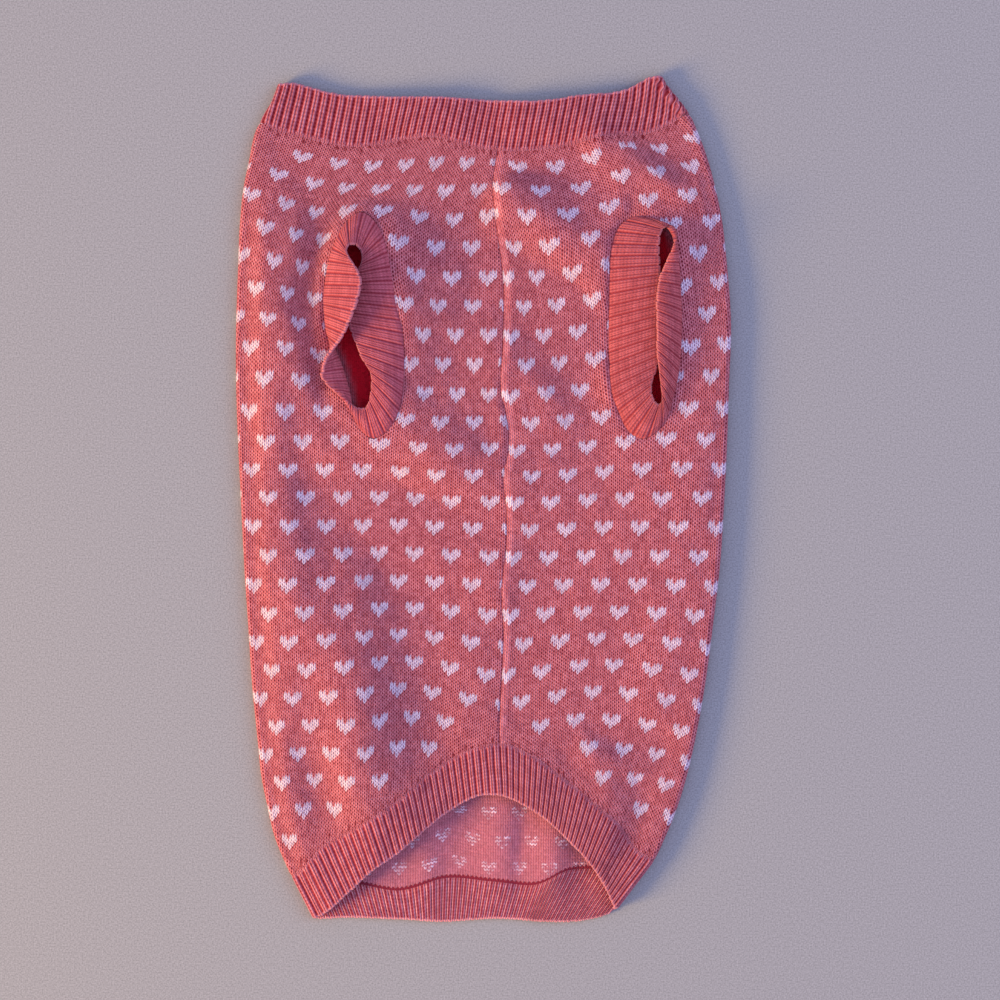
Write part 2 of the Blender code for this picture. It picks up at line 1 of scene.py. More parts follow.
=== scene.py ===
"""Looks of the knitted dog sweater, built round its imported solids.

Frame: the row's own, metres, +Z up, neck at +Y. Sizes and tables below are in
millimetres. The tables of the outline, seams and mouths are the ones that the
solids are made from; here they are read at a much finer step, the cuffs' free
edges and the creases of the belly follow the photo more closely, and the knit,
the ribs and the rolled seam are added.
"""

import math

import bpy
import mathutils
import numpy as np
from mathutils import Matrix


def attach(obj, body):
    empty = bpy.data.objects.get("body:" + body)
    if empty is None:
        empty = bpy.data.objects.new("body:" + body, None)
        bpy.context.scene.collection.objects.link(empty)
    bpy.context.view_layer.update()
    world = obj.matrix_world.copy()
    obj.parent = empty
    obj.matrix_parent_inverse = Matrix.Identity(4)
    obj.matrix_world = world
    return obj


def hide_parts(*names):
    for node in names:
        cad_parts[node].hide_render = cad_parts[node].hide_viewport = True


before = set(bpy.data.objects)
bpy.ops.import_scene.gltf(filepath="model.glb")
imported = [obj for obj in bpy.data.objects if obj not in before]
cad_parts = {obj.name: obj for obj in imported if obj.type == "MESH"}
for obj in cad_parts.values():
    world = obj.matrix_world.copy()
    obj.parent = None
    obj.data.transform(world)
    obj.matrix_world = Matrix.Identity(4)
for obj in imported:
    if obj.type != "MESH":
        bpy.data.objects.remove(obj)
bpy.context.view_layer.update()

MM = 0.001

# Cloth and seams
BODY_WALL = 1.6
RIB_WALL = 2.0
SEAM_GAP = 0.1
SIDE_FOLD_RADIUS = 1.7
FOLD_INSET = 2.5
LAY_GAP = 0.5
EDGE_ROLL = 10.0
SLANT_GAP = 0.0

# Knit
WALE = 2.01            # one stitch across
COURSE = 1.77          # one stitch along
RIB_DEPTH = 0.52       # from a rib's crest to its valley
EDGE_ROUND = 1.1       # radius of a free rib edge
SEAM_PINCH = 1.5       # how far a linked seam pulls the cloth in

# Outline of the laid tube, a row for each station: y, left x, right x
OUTLINE = (
    (211.5, -101.3, 88.8),
    (206.5, -102.8, 91.8),
    (199.0, -105.8, 97.8),
    (191.5, -109.8, 103.3),
    (184.0, -113.8, 106.8),
    (169.0, -117.3, 112.3),
    (154.0, -120.3, 116.3),
    (139.0, -121.8, 119.3),
    (116.5, -122.8, 121.8),
    (86.5, -123.8, 123.8),
    (56.5, -123.8, 122.8),
    (26.5, -122.8, 121.8),
    (-3.5, -121.3, 120.3),
    (-33.5, -119.8, 118.3),
    (-63.5, -117.8, 114.8),
    (-93.5, -115.8, 110.8),
    (-123.5, -112.8, 105.3),
    (-138.5, -111.3, 101.8),
    (-153.5, -108.3, 97.3),
    (-168.5, -104.8, 91.3),
    (-183.5, -98.8, 83.8),
    (-198.5, -91.3, 71.3),
    (-206.0, -87.3, 66.3),
    (-211.5, -84.8, 63.0),
)

# Middle-of-belly join of collar, panel and hem band: y, x
BELLY_SEAM = (
    (212.0, 12.2),
    (199.0, 11.8),
    (187.0, 9.6),
    (175.0, 7.3),
    (161.0, 5.0),
    (147.5, 5.3),
    (134.0, 6.8),
    (112.0, 9.6),
    (79.0, 9.8),
    (52.0, 8.8),
    (40.0, 11.6),
    (24.0, 12.4),
    (12.0, 10.0),
    (-6.0, 11.4),
    (-22.0, 11.6),
    (-45.0, 9.0),
    (-67.0, 10.0),
    (-90.0, 9.2),
    (-118.0, 7.8),
    (-130.0, 8.6),
    (-152.0, 9.8),
)

# Edges that cross the tube: x, y on the belly, y on the back
NECK_SEAM = (
    (-113.0, 189.0, 189.0),
    (-102.3, 183.5, 184.0),
    (-94.3, 181.5, 181.0),
    (-76.3, 177.0, 177.5),
    (-63.8, 175.5, 176.0),
    (-51.3, 177.0, 175.5),
    (-24.8, 180.5, 174.5),
    (-6.8, 176.0, 174.0),
    (11.8, 173.5, 174.0),
    (25.3, 174.0, 174.5),
    (47.3, 177.5, 176.0),
    (60.8, 181.0, 178.0),
    (83.3, 182.5, 182.5),
    (91.3, 186.0, 186.0),
    (104.5, 193.5, 193.5),
)
COLLAR_EDGE = (
    (-102.8, 207.0, 207.0),
    (-94.3, 207.5, 206.5),
    (-86.8, 205.5, 204.0),
    (-71.8, 202.0, 200.5),
    (-60.0, 201.2, 199.6),
    (-19.3, 201.0, 199.0),
    (3.3, 199.6, 198.0),
    (33.3, 199.5, 198.0),
    (48.3, 202.0, 200.5),
    (70.8, 205.0, 203.5),
    (84.0, 211.0, 210.5),
    (89.0, 211.5, 211.5),
)
BELLY_HEM_SEAM = (
    (-98.0, -189.5),
    (-92.8, -186.5),
    (-86.3, -180.0),
    (-77.8, -171.5),
    (-66.8, -165.5),
    (-45.3, -152.0),
    (-23.3, -134.5),
    (-3.8, -124.5),
    (9.0, -122.5),
    (23.3, -128.0),
    (41.8, -141.0),
    (58.8, -155.0),
    (67.8, -163.0),
    (76.0, -174.5),
    (86.0, -181.5),
)
BELLY_HEM_EDGE = (
    (-86.0, -211.0),
    (-79.8, -208.0),
    (-66.8, -196.5),
    (-56.8, -187.0),
    (-42.8, -177.0),
    (-18.8, -157.5),
    (-1.8, -148.6),
    (8.3, -148.4),
    (17.8, -152.0),
    (27.8, -158.0),
    (43.8, -172.5),
    (52.5, -182.0),
    (60.8, -195.0),
    (66.0, -206.5),
)
BACK_HEM_SEAM = (
    (-98.0, -189.5),
    (-61.0, -193.5),
    (-42.0, -196.5),
    (-20.0, -190.5),
    (5.0, -192.0),
    (28.0, -193.0),
    (40.0, -187.0),
    (60.0, -185.5),
    (86.0, -181.5),
)
BACK_HEM_EDGE = (
    (-86.0, -211.0),
    (-70.0, -209.8),
    (-42.0, -210.5),
    (-20.0, -211.3),
    (5.0, -210.0),
    (33.0, -211.3),
    (52.0, -210.8),
    (62.0, -208.3),
    (66.0, -206.5),
)

# Soft folds of the belly layer, each a line of stations: x, y, height of the
# crest above the flat-lying cloth, reach of its left side and of its right side
# as one walks from the first station to the last
FOLDS = {
    "neck_mouth": (
        (-88.0, 190.0, 1.2, 20.0, 18.0),
        (-52.0, 189.0, 4.8, 30.0, 22.0),
        (-16.0, 189.0, 5.8, 34.0, 24.0),
        (16.0, 188.0, 6.0, 34.0, 26.0),
        (50.0, 191.0, 5.4, 30.0, 24.0),
        (80.0, 195.0, 1.2, 20.0, 18.0),
    ),
    "left_arm_rim": (
        (-66.0, 142.0, 2.0, 12.0, 6.0),
        (-73.0, 128.0, 5.0, 12.0, 6.0),
        (-78.0, 110.0, 7.0, 12.0, 6.0),
        (-80.0, 94.0, 7.2, 12.0, 6.0),
        (-78.0, 78.0, 5.8, 12.0, 6.5),
        (-74.0, 62.0, 4.2, 12.0, 7.0),
        (-68.0, 46.0, 3.4, 12.0, 7.0),
        (-60.0, 34.0, 1.8, 12.0, 8.0),
    ),
    "left_arm_middle": (
        (-60.0, 143.0, 2.2, 14.0, 8.0),
        (-50.0, 132.0, 3.0, 14.0, 8.0),
        (-45.5, 112.0, 3.2, 14.0, 8.0),
        (-41.0, 84.0, 3.4, 14.0, 8.0),
        (-39.5, 62.0, 3.2, 14.0, 8.0),
        (-44.0, 42.0, 2.6, 14.0, 8.0),
        (-54.0, 30.0, 1.6, 12.0, 8.0),
    ),
    "right_arm_roll": (
        (68.0, 142.0, 2.4, 5.0, 11.0),
        (61.5, 128.0, 4.0, 4.2, 11.0),
        (60.2, 106.0, 4.8, 4.2, 11.0),
        (60.2, 80.0, 4.8, 4.2, 11.0),
        (60.6, 58.0, 4.4, 4.2, 11.0),
        (65.0, 42.0, 3.0, 5.0, 11.0),
        (72.0, 30.0, 1.6, 7.0, 10.0),
    ),
    "right_arm_rim": (
        (82.0, 141.0, 2.2, 9.0, 9.0),
        (94.0, 126.0, 3.0, 8.0, 9.0),
        (98.0, 106.0, 3.2, 7.0, 9.0),
        (99.0, 84.0, 3.2, 7.0, 9.0),
        (97.5, 62.0, 3.0, 7.0, 9.0),
        (91.0, 44.0, 2.6, 8.0, 9.0),
        (80.0, 30.0, 1.4, 9.0, 9.0),
    ),
    "hem_mouth": (
        (-74.0, -199.0, 0.6, 26.0, 14.0),
        (-52.0, -181.0, 3.4, 30.0, 16.0),
        (-26.0, -160.0, 5.2, 32.0, 18.0),
        (8.0, -144.0, 5.8, 30.0, 18.0),
        (34.0, -160.0, 5.6, 32.0, 18.0),
        (51.0, -180.0, 4.4, 30.0, 16.0),
        (61.0, -199.0, 0.9, 24.0, 14.0),
    ),
}

# Leg cuffs, a row for each station round the ring: seam x, seam y, free edge x,
# y and z, knee (how far along the wall bends, 0 at the seam), bulge of the bend
LEFT_CUFF = (
    (-67.4, 138.8, -66.6, 125.6, 13.0, 0.45, 1.4),
    (-60.6, 142.8, -63.4, 126.0, 12.4, 0.45, 1.4),
    (-53.0, 136.4, -60.8, 122.6, 12.0, 0.45, 1.6),
    (-48.4, 125.0, -60.8, 117.2, 11.6, 0.45, 1.6),
    (-45.4, 110.0, -64.6, 108.6, 11.2, 0.45, 1.6),
    (-43.4, 96.0, -67.2, 98.4, 11.0, 0.45, 1.6),
    (-40.4, 84.0, -67.6, 88.6, 11.2, 0.45, 1.6),
    (-39.4, 72.4, -64.6, 79.6, 11.6, 0.45, 1.8),
    (-39.6, 60.4, -60.8, 69.8, 12.0, 0.45, 2.0),
    (-40.6, 49.4, -55.8, 62.4, 12.2, 0.45, 2.0),
    (-43.6, 39.4, -55.6, 55.6, 12.0, 0.45, 1.8),
    (-48.8, 32.4, -56.4, 48.8, 11.6, 0.45, 1.6),
    (-55.6, 29.6, -58.6, 44.0, 11.2, 0.45, 1.4),
    (-61.6, 35.4, -63.6, 45.2, 10.8, 0.40, 1.2),
    (-65.0, 43.6, -69.0, 49.2, 11.0, 0.30, 1.2),
    (-66.8, 51.8, -74.6, 53.6, 11.6, 0.10, 1.2),
    (-68.8, 60.2, -80.4, 59.4, 12.4, 0.15, 1.0),
    (-71.8, 68.8, -79.8, 66.8, 13.0, 0.20, 1.2),
    (-75.6, 76.8, -75.4, 72.6, 14.2, 0.30, 1.2),
    (-78.4, 84.0, -70.0, 79.2, 15.2, 0.35, 1.4),
    (-79.6, 94.0, -65.6, 88.6, 16.4, 0.40, 1.6),
    (-79.8, 100.8, -61.8, 98.8, 17.2, 0.45, 2.0),
    (-79.2, 107.6, -60.2, 105.8, 17.4, 0.45, 2.0),
    (-78.0, 114.8, -61.6, 112.2, 17.0, 0.45, 1.8),
    (-76.2, 121.8, -65.2, 117.6, 15.8, 0.45, 1.4),
    (-72.6, 130.4, -68.0, 122.4, 14.2, 0.40, 1.2),
)
RIGHT_CUFF = (
    (77.4, 140.2, 92.6, 135.4, 12.6, 0.45, 1.4),
    (69.6, 137.6, 88.8, 133.6, 12.4, 0.45, 1.4),
    (65.0, 130.6, 87.5, 128.6, 12.2, 0.45, 1.4),
    (63.0, 121.4, 87.4, 121.4, 12.0, 0.45, 1.4),
    (62.6, 110.0, 88.0, 112.6, 11.6, 0.45, 1.4),
    (62.6, 97.6, 88.2, 102.6, 11.4, 0.45, 1.4),
    (62.6, 85.4, 88.2, 92.0, 11.4, 0.45, 1.4),
    (62.6, 73.4, 88.2, 81.6, 11.4, 0.45, 1.4),
    (62.8, 61.4, 88.0, 71.8, 11.4, 0.45, 1.4),
    (64.4, 51.0, 85.5, 62.0, 11.6, 0.45, 1.4),
    (68.0, 41.6, 83.6, 55.0, 11.4, 0.45, 1.4),
    (72.4, 33.4, 84.5, 49.5, 11.0, 0.45, 1.2),
    (79.6, 29.4, 87.2, 46.5, 10.6, 0.45, 1.2),
    (86.8, 33.4, 88.9, 47.6, 11.0, 0.45, 1.0),
    (92.2, 42.0, 88.9, 51.4, 12.0, 0.45, 1.0),
    (94.6, 50.0, 87.6, 60.6, 14.0, 0.45, 1.6),
    (96.6, 58.0, 86.4, 69.4, 15.0, 0.45, 1.8),
    (98.2, 69.6, 86.0, 79.0, 15.2, 0.45, 1.8),
    (98.8, 81.4, 86.0, 88.6, 15.2, 0.45, 1.8),
    (98.8, 93.4, 86.0, 98.0, 15.2, 0.45, 1.8),
    (98.2, 105.4, 86.8, 107.4, 15.2, 0.45, 1.8),
    (97.2, 116.6, 90.5, 116.8, 14.6, 0.40, 1.6),
    (95.6, 127.4, 95.2, 126.0, 13.8, 0.30, 1.4),
    (90.4, 136.2, 96.0, 132.6, 13.0, 0.30, 1.4),
)


# Knit of the two belly halves: y, then the wale number at the seven stations,
# then the course number there. Courses count towards the hem.
LEFT_STATIONS = (-121.8, -101.8, -81.8, -61.8, -41.8, -21.8, 8.2)
LEFT_KNIT = (
    (174.0, -7.7, 1.4, 10.2, 19.9, 30.8, 42.9, 60.9, 4.2, 0.8, -2.4, -4.2, -3.7, -2.5, -3.6),
    (159.0, -5.8, 3.5, 12.8, 23.2, 33.5, 45.3, 62.2, 13.8, 10.7, 7.7, 5.9, 5.9, 6.0, 6.4),
    (144.0, -4.3, 5.4, 16.7, 28.1, 37.7, 47.6, 63.8, 22.4, 19.3, 16.2, 17.0, 16.0, 14.3, 15.7),
    (129.0, -3.4, 7.0, 19.9, 30.5, 38.9, 48.7, 63.9, 29.8, 27.4, 25.3, 25.5, 24.2, 22.9, 23.6),
    (111.5, -2.1, 8.6, 21.9, 30.9, 38.8, 48.8, 63.7, 38.4, 36.4, 34.3, 34.1, 33.2, 32.2, 32.6),
    (94.0, -1.6, 9.6, 22.3, 30.2, 37.2, 48.2, 63.7, 47.4, 46.0, 43.9, 43.1, 42.7, 42.1, 42.2),
    (74.0, -0.1, 9.9, 21.0, 29.0, 36.3, 47.1, 63.9, 57.8, 57.8, 55.4, 54.1, 53.3, 53.2, 53.1),
    (54.0, 0.2, 10.3, 20.1, 28.5, 36.2, 46.9, 63.9, 67.7, 67.8, 67.2, 65.8, 64.6, 64.0, 63.7),
    (34.0, -0.2, 10.0, 19.8, 29.2, 37.7, 47.8, 63.5, 78.1, 77.9, 78.0, 77.7, 76.3, 75.1, 75.6),
    (-1.0, -0.7, 9.4, 19.2, 29.0, 38.9, 48.9, 63.0, 98.0, 97.8, 97.8, 97.8, 97.9, 96.9, 96.6),
    (-51.0, -1.6, 9.4, 19.2, 28.7, 39.1, 49.0, 63.7, 125.4, 125.4, 125.8, 126.4, 126.7, 126.2, 124.8),
    (-91.0, -3.0, 8.5, 18.5, 28.2, 39.3, 49.4, 64.3, 148.1, 148.0, 148.5, 149.5, 150.8, 149.2, 145.8),
    (-121.0, -4.8, 7.0, 17.7, 27.9, 39.5, 50.7, 65.4, 164.7, 165.1, 165.7, 165.6, 167.4, 166.6, 163.0),
    (-146.0, -6.5, 5.6, 16.8, 27.9, 39.1, 50.3, 65.9, 178.9, 179.4, 180.3, 179.7, 180.4, 180.2, 177.8),
    (-171.0, -7.9, 3.7, 15.3, 26.7, 38.2, 49.5, 65.6, 192.7, 192.9, 193.7, 193.9, 193.8, 193.4, 191.8),
    (-192.0, -8.6, 2.6, 14.2, 25.6, 37.0, 48.6, 65.2, 204.6, 204.8, 205.3, 205.6, 205.4, 205.0, 203.6),
)
RIGHT_STATIONS = (8.2, 28.2, 48.2, 68.2, 88.2, 108.2, 124.2)
RIGHT_KNIT = (
    (174.0, 8.2, 18.2, 27.7, 36.3, 47.5, 56.0, 63.4, -4.0, -4.6, -2.0, 1.4, 1.4, 5.3, 7.1),
    (159.0, 6.6, 16.1, 25.0, 33.0, 42.5, 52.1, 60.1, 6.3, 4.9, 6.3, 10.1, 11.6, 13.2, 14.9),
    (144.0, 5.3, 15.1, 23.4, 32.0, 41.1, 49.4, 57.6, 15.5, 15.1, 15.9, 18.5, 20.4, 21.5, 22.8),
    (129.0, 3.2, 13.8, 22.3, 31.7, 40.0, 48.8, 57.5, 23.2, 23.2, 24.8, 27.1, 28.7, 29.7, 30.9),
    (111.5, 0.6, 12.7, 22.5, 32.0, 38.9, 47.3, 55.8, 32.4, 32.7, 34.0, 36.3, 37.5, 38.6, 39.9),
    (94.0, -0.3, 11.1, 21.4, 30.5, 37.5, 46.2, 54.3, 41.8, 42.1, 43.3, 45.1, 46.4, 47.9, 48.8),
    (74.0, -0.4, 10.5, 21.3, 29.9, 36.5, 44.9, 53.7, 52.6, 53.1, 54.3, 55.6, 57.0, 58.2, 58.8),
    (54.0, 0.1, 10.2, 20.7, 29.3, 36.4, 45.1, 53.9, 63.0, 64.1, 65.0, 66.2, 67.7, 68.5, 68.7),
    (34.0, -1.1, 8.8, 19.2, 28.6, 37.3, 46.2, 54.5, 74.6, 75.1, 76.0, 77.6, 78.7, 78.6, 78.6),
    (-1.0, -1.1, 9.1, 18.8, 28.6, 38.4, 47.4, 55.2, 96.5, 96.3, 97.0, 97.5, 97.5, 97.7, 97.5),
    (-51.0, -0.2, 10.2, 19.9, 29.8, 39.4, 48.8, 56.9, 124.7, 125.2, 125.5, 125.7, 125.4, 124.8, 124.4),
    (-91.0, 1.0, 11.4, 21.2, 31.6, 40.8, 50.8, 59.5, 146.3, 147.5, 149.4, 149.5, 147.9, 146.3, 145.6),
    (-121.0, 1.6, 11.7, 22.4, 32.3, 42.7, 53.5, 62.4, 163.2, 165.2, 167.1, 166.5, 164.9, 162.6, 161.4),
    (-146.0, 2.6, 12.9, 23.8, 35.6, 46.8, 57.3, 65.8, 178.2, 179.6, 180.4, 180.8, 179.1, 175.9, 174.6),
    (-171.0, 4.7, 15.7, 27.2, 39.2, 50.8, 61.2, 69.3, 192.3, 193.3, 194.0, 193.9, 192.0, 189.6, 188.3),
    (-192.0, 6.2, 17.6, 29.4, 41.8, 53.6, 64.2, 72.4, 204.2, 204.8, 205.4, 205.2, 203.6, 201.4, 200.0),
)
# The back: y, course number, width of one nine-wale repeat
BACK_KNIT = (
    (184.0, -3.0, 18.1),
    (174.0, 3.8, 18.1),
    (149.0, 19.4, 18.1),
    (94.0, 47.3, 18.1),
    (29.0, 80.8, 18.1),
    (-31.0, 114.5, 18.1),
    (-91.0, 148.1, 17.6),
    (-121.0, 164.7, 16.8),
    (-146.0, 178.9, 15.6),
    (-156.5, 185.2, 15.0),
    (-171.0, 193.2, 15.0),
    (-184.0, 201.2, 15.0),
    (-196.0, 208.0, 15.0),
)

# The belly join is a soft roll beside a dark line: y, height of the roll on the
# right panel, on the left panel, width of the roll
SEAM_ROLL = (
    (188.0, 0.3, 0.2, 3.4),
    (172.0, 0.6, 0.1, 3.6),
    (150.0, 1.0, 0.1, 4.4),
    (125.0, 1.3, 0.0, 5.0),
    (92.0, 1.4, 0.0, 4.8),
    (66.0, 1.2, 0.0, 4.4),
    (54.0, 0.7, 0.5, 4.2),
    (44.0, 0.2, 1.0, 4.2),
    (30.0, 0.2, 1.0, 4.2),
    (20.0, 0.8, 0.4, 4.0),
    (4.0, 0.85, 0.1, 3.8),
    (-30.0, 0.7, 0.1, 3.4),
    (-66.0, 0.7, 0.0, 3.2),
    (-96.0, 0.6, 0.0, 3.0),
    (-118.0, 0.4, 0.1, 2.8),
    (-126.0, 0.2, 0.2, 2.8),
)

# Pitch of the ribs: x, millimetres for each rib, on each piece's stretches
COLLAR_PITCH = ((-103.0, 4.1), (-60.0, 4.0), (-45.0, 3.55), (45.0, 3.45), (60.0, 3.7), (92.0, 3.8))
BELLY_HEM_PITCH = ((-90.0, 4.05), (-50.0, 3.9), (-20.0, 3.6), (8.0, 3.45), (30.0, 3.3), (66.0, 3.1))
BACK_HEM_PITCH = ((-88.0, 3.2), (-30.0, 3.2), (-15.0, 2.65), (66.0, 2.6))

# Creases of the lying cloth, evened to the light on them: x, y, height, reach
# along and across, turn in degrees
CLOTH_RISE = 3.1
WAVES = (
    (0.0, 192.0, -6.2, 130.0, 34.0, 0.0),
    (-92.5, 68.4, 4.74, 75.0, 13.1, 111.0),
    (-77.8, 93.2, -7.80, 41.3, 9.4, 92.0),
    (-104.7, 38.4, 5.27, 40.0, 11.1, 94.0),
    (-97.2, -100.5, 2.40, 75.0, 10.8, 90.0),
    (-87.0, -60.2, 4.46, 44.0, 17.3, 113.0),
    (-63.4, -125.6, 7.42, 71.8, 20.6, 92.0),
    (-45.4, -30.7, -4.99, 32.9, 18.4, 132.0),
    (-70.6, -13.4, -2.32, 11.5, 17.2, 84.0),
    (-24.1, 25.1, 5.63, 27.4, 19.0, 144.0),
    (-41.4, -3.0, -6.00, 54.2, 14.8, 166.0),
    (-2.0, 152.7, -4.69, 56.8, 11.3, 86.0),
    (2.7, 138.3, 6.48, 32.4, 14.5, 69.0),
    (31.6, 134.1, 7.62, 29.7, 15.6, 134.0),
    (32.4, 100.0, -7.46, 64.7, 24.0, 134.0),
    (64.4, 56.9, 4.73, 16.4, 7.4, 106.0),
    (41.7, 42.0, 1.27, 48.9, 11.1, 140.0),
    (-61.9, 165.3, -7.80, 32.7, 24.0, 139.0),
    (-17.1, 143.1, -1.64, 22.3, 6.9, 85.0),
    (14.8, 168.8, -7.80, 37.4, 11.1, 1.0),
    (56.4, 176.4, 1.78, 11.4, 7.5, 92.0),
    (71.2, 165.4, 4.75, 16.5, 11.8, 135.0),
    (89.8, 158.8, 3.34, 17.4, 6.8, 141.0),
    (97.6, 126.3, 4.74, 15.6, 10.6, 109.0),
    (104.5, 11.1, 1.96, 49.7, 14.6, 86.0),
    (76.7, -118.8, -4.27, 9.2, 14.0, 84.0),
    (53.5, -126.3, 2.59, 12.3, 8.6, 123.0),
    (75.3, -161.0, -2.10, 46.4, 10.2, 73.0),
    (84.9, -57.0, 2.29, 40.6, 15.8, 82.0),
    (62.7, -95.2, -4.26, 75.0, 19.1, 66.0),
    (22.2, -89.8, -4.46, 75.0, 21.6, 75.0),
    (-9.7, -45.0, -1.56, 21.5, 10.7, 104.0),
    (-97.2, 125.7, 2.02, 12.4, 11.0, 103.0),
    (-41.1, 118.4, 4.31, 35.9, 16.5, 96.0),
    (-77.5, -151.8, -4.12, 35.2, 12.1, 110.0),
    (-20.7, -124.9, -3.55, 56.8, 17.1, 103.0),
    (66.9, 70.0, -4.30, 75.0, 19.9, 82.0),
)
# Relief of the back panel inside the hem's mouth: x, y, height, reaches
BACK_WAVES = (
    (-49.0, -178.0, 2.5, 24.0, 15.0, 90.0),
    (-29.0, -172.0, 2.7, 26.0, 8.5, 90.0),
    (9.0, -168.0, 3.1, 27.0, 12.0, 86.0),
    (18.5, -172.0, -0.9, 24.0, 3.6, 86.0),
    (35.0, -174.0, 4.1, 27.0, 10.0, 84.0),
    (62.0, -188.0, 1.2, 14.0, 8.0, 90.0),
)

def smooth(table, column):
    """A smooth curve through one column of a table, by its first column."""
    rows = sorted(table)
    at = np.array([row[0] for row in rows], float)
    value = np.array([row[column] for row in rows], float)
    step = np.diff(at)
    rise = np.diff(value) / step
    slope = np.empty_like(value)
    slope[1:-1] = (rise[:-1] * step[1:] + rise[1:] * step[:-1]) / (step[:-1] + step[1:])
    slope[0], slope[-1] = rise[0], rise[-1]

    def curve(q):
        q = np.clip(np.asarray(q, float), at[0], at[-1])
        i = np.clip(np.searchsorted(at, q, side="right") - 1, 0, len(at) - 2)
        t = (q - at[i]) / step[i]
        return (
            (2 * t**3 - 3 * t**2 + 1) * value[i]
            + (t**3 - 2 * t**2 + t) * step[i] * slope[i]
            + (3 * t**2 - 2 * t**3) * value[i + 1]
            + (t**3 - t**2) * step[i] * slope[i + 1]
        )

    return curve


def ring_columns(table, count):
    """The table's columns as closed smooth curves, each read at count stations."""
    rows = np.array(table, float)
    n = len(rows)
    q = np.arange(count) * n / count
    i = np.floor(q).astype(int)
    t = (q - i)[:, None]
    a, b, c, d = rows[(i - 1) % n], rows[i % n], rows[(i + 1) % n], rows[(i + 2) % n]
    return 0.5 * (2 * b + (c - a) * t + (2 * a - 5 * b + 4 * c - d) * t**2 + (3 * b - a - 3 * c + d) * t**3)


left_of = smooth(OUTLINE, 1)
right_of = smooth(OUTLINE, 2)
seam_of = smooth(BELLY_SEAM, 1)
neck_belly, neck_back = smooth(NECK_SEAM, 1), smooth(NECK_SEAM, 2)
collar_belly, collar_back = smooth(COLLAR_EDGE, 1), smooth(COLLAR_EDGE, 2)
hem_seam_belly, hem_edge_belly = smooth(BELLY_HEM_SEAM, 1), smooth(BELLY_HEM_EDGE, 1)
hem_seam_back, hem_edge_back = smooth(BACK_HEM_SEAM, 1), smooth(BACK_HEM_EDGE, 1)


def across(zone, part, y):
    """X of the middle of the wall at a station round the tube and a height y."""
    left, right, seam = left_of(y) + FOLD_INSET, right_of(y) - FOLD_INSET, seam_of(y)
    swing = SIDE_FOLD_RADIUS * np.sin(np.pi * part)
    return np.select(
        [zone == 0, zone == 1, zone == 2, zone == 3],
        [
            seam + SEAM_GAP / 2 + part * (right - seam - SEAM_GAP / 2),
            right + swing,
            right + part * (left - right),
            left - swing,
        ],
        left + part * (seam - SEAM_GAP / 2 - left),
    )


def meeting(zone, part, belly, back):
    """Y where each column of the tube meets an edge that crosses it."""
    on_back = np.select([zone == 1, zone == 2, zone == 3], [part, 1.0, 1.0 - part], 0.0)
    side = np.select([zone == 1, zone == 3], [1.0, 1.0], 0.0)
    flat = np.where(side > 0, 0.0, part)
    place = np.select([zone == 1, zone == 3], [2, 2], zone)
    flat = np.where(zone == 3, 1.0, flat)
    y = np.zeros(zone.shape)
    for _ in range(60):
        x = across(place, flat, y)
        y = 0.5 * y + 0.5 * (belly(x) * (1 - on_back) + back(x) * on_back)
    return y


def straight_columns(zone, part, top, bottom, rows):
    """Columns of the tube that run straight from one edge to another."""
    w = np.linspace(0, 1, rows + 1)[None, :]
    y = top[:, None] + (bottom - top)[:, None] * w
    return across(zone[:, None], part[:, None], y), y


def along(points):
    """Distance along a line of points, as a fraction of its length."""
    step = np.hypot(*np.diff(points, axis=0).T)
    run = np.concatenate([[0.0], np.cumsum(step)])
    return run / run[-1]


def hem_columns(zone, part, rows):
    """Columns of the hem band: square to the arch on the belly, straight down
    on the back."""
    top = meeting(zone, part, hem_seam_belly, hem_seam_back)
    bottom = meeting(zone, part, hem_edge_belly, hem_edge_back)
    x_top, x_bottom = across(zone, part, top), across(zone, part, bottom)
    fine = np.linspace(0, 1, 241)
    for side in (0, 4):
        which = np.full(fine.shape, side)
        seam_y = meeting(which, fine, hem_seam_belly, hem_seam_back)
        edge_y = meeting(which, fine, hem_edge_belly, hem_edge_back)
        seam_x, edge_x = across(which, fine, seam_y), across(which, fine, edge_y)
        seam_run = along(np.stack([seam_x, seam_y], 1))
        edge_run = along(np.stack([edge_x, edge_y], 1))
        mine = zone == side
        share = np.interp(part[mine], fine, seam_run)
        x_bottom[mine] = np.interp(share, edge_run, edge_x)
        bottom[mine] = np.interp(share, edge_run, edge_y)
    w = np.linspace(0, 1, rows + 1)[None, :]
    top = top - SLANT_GAP
    return (
        x_top[:, None] + (x_bottom - x_top)[:, None] * w,
        top[:, None] + (bottom - top)[:, None] * w,
    )


def inward(plan, distance):
    """A closed plan line, moved towards its own inside."""
    ahead = np.roll(plan, -1, axis=0) - np.roll(plan, 1, axis=0)
    normal = np.stack([-ahead[:, 1], ahead[:, 0]], 1)
    normal /= np.hypot(*normal.T)[:, None]
    turn = np.sum(plan[:, 0] * np.roll(plan[:, 1], -1) - np.roll(plan[:, 0], -1) * plan[:, 1])
    return plan + normal * distance * np.sign(turn)

# ---------------------------------------------------------------- relief

GRID_X = np.arange(-130.0, 130.5, 1.0)
GRID_Y = np.arange(-216.0, 216.5, 1.0)


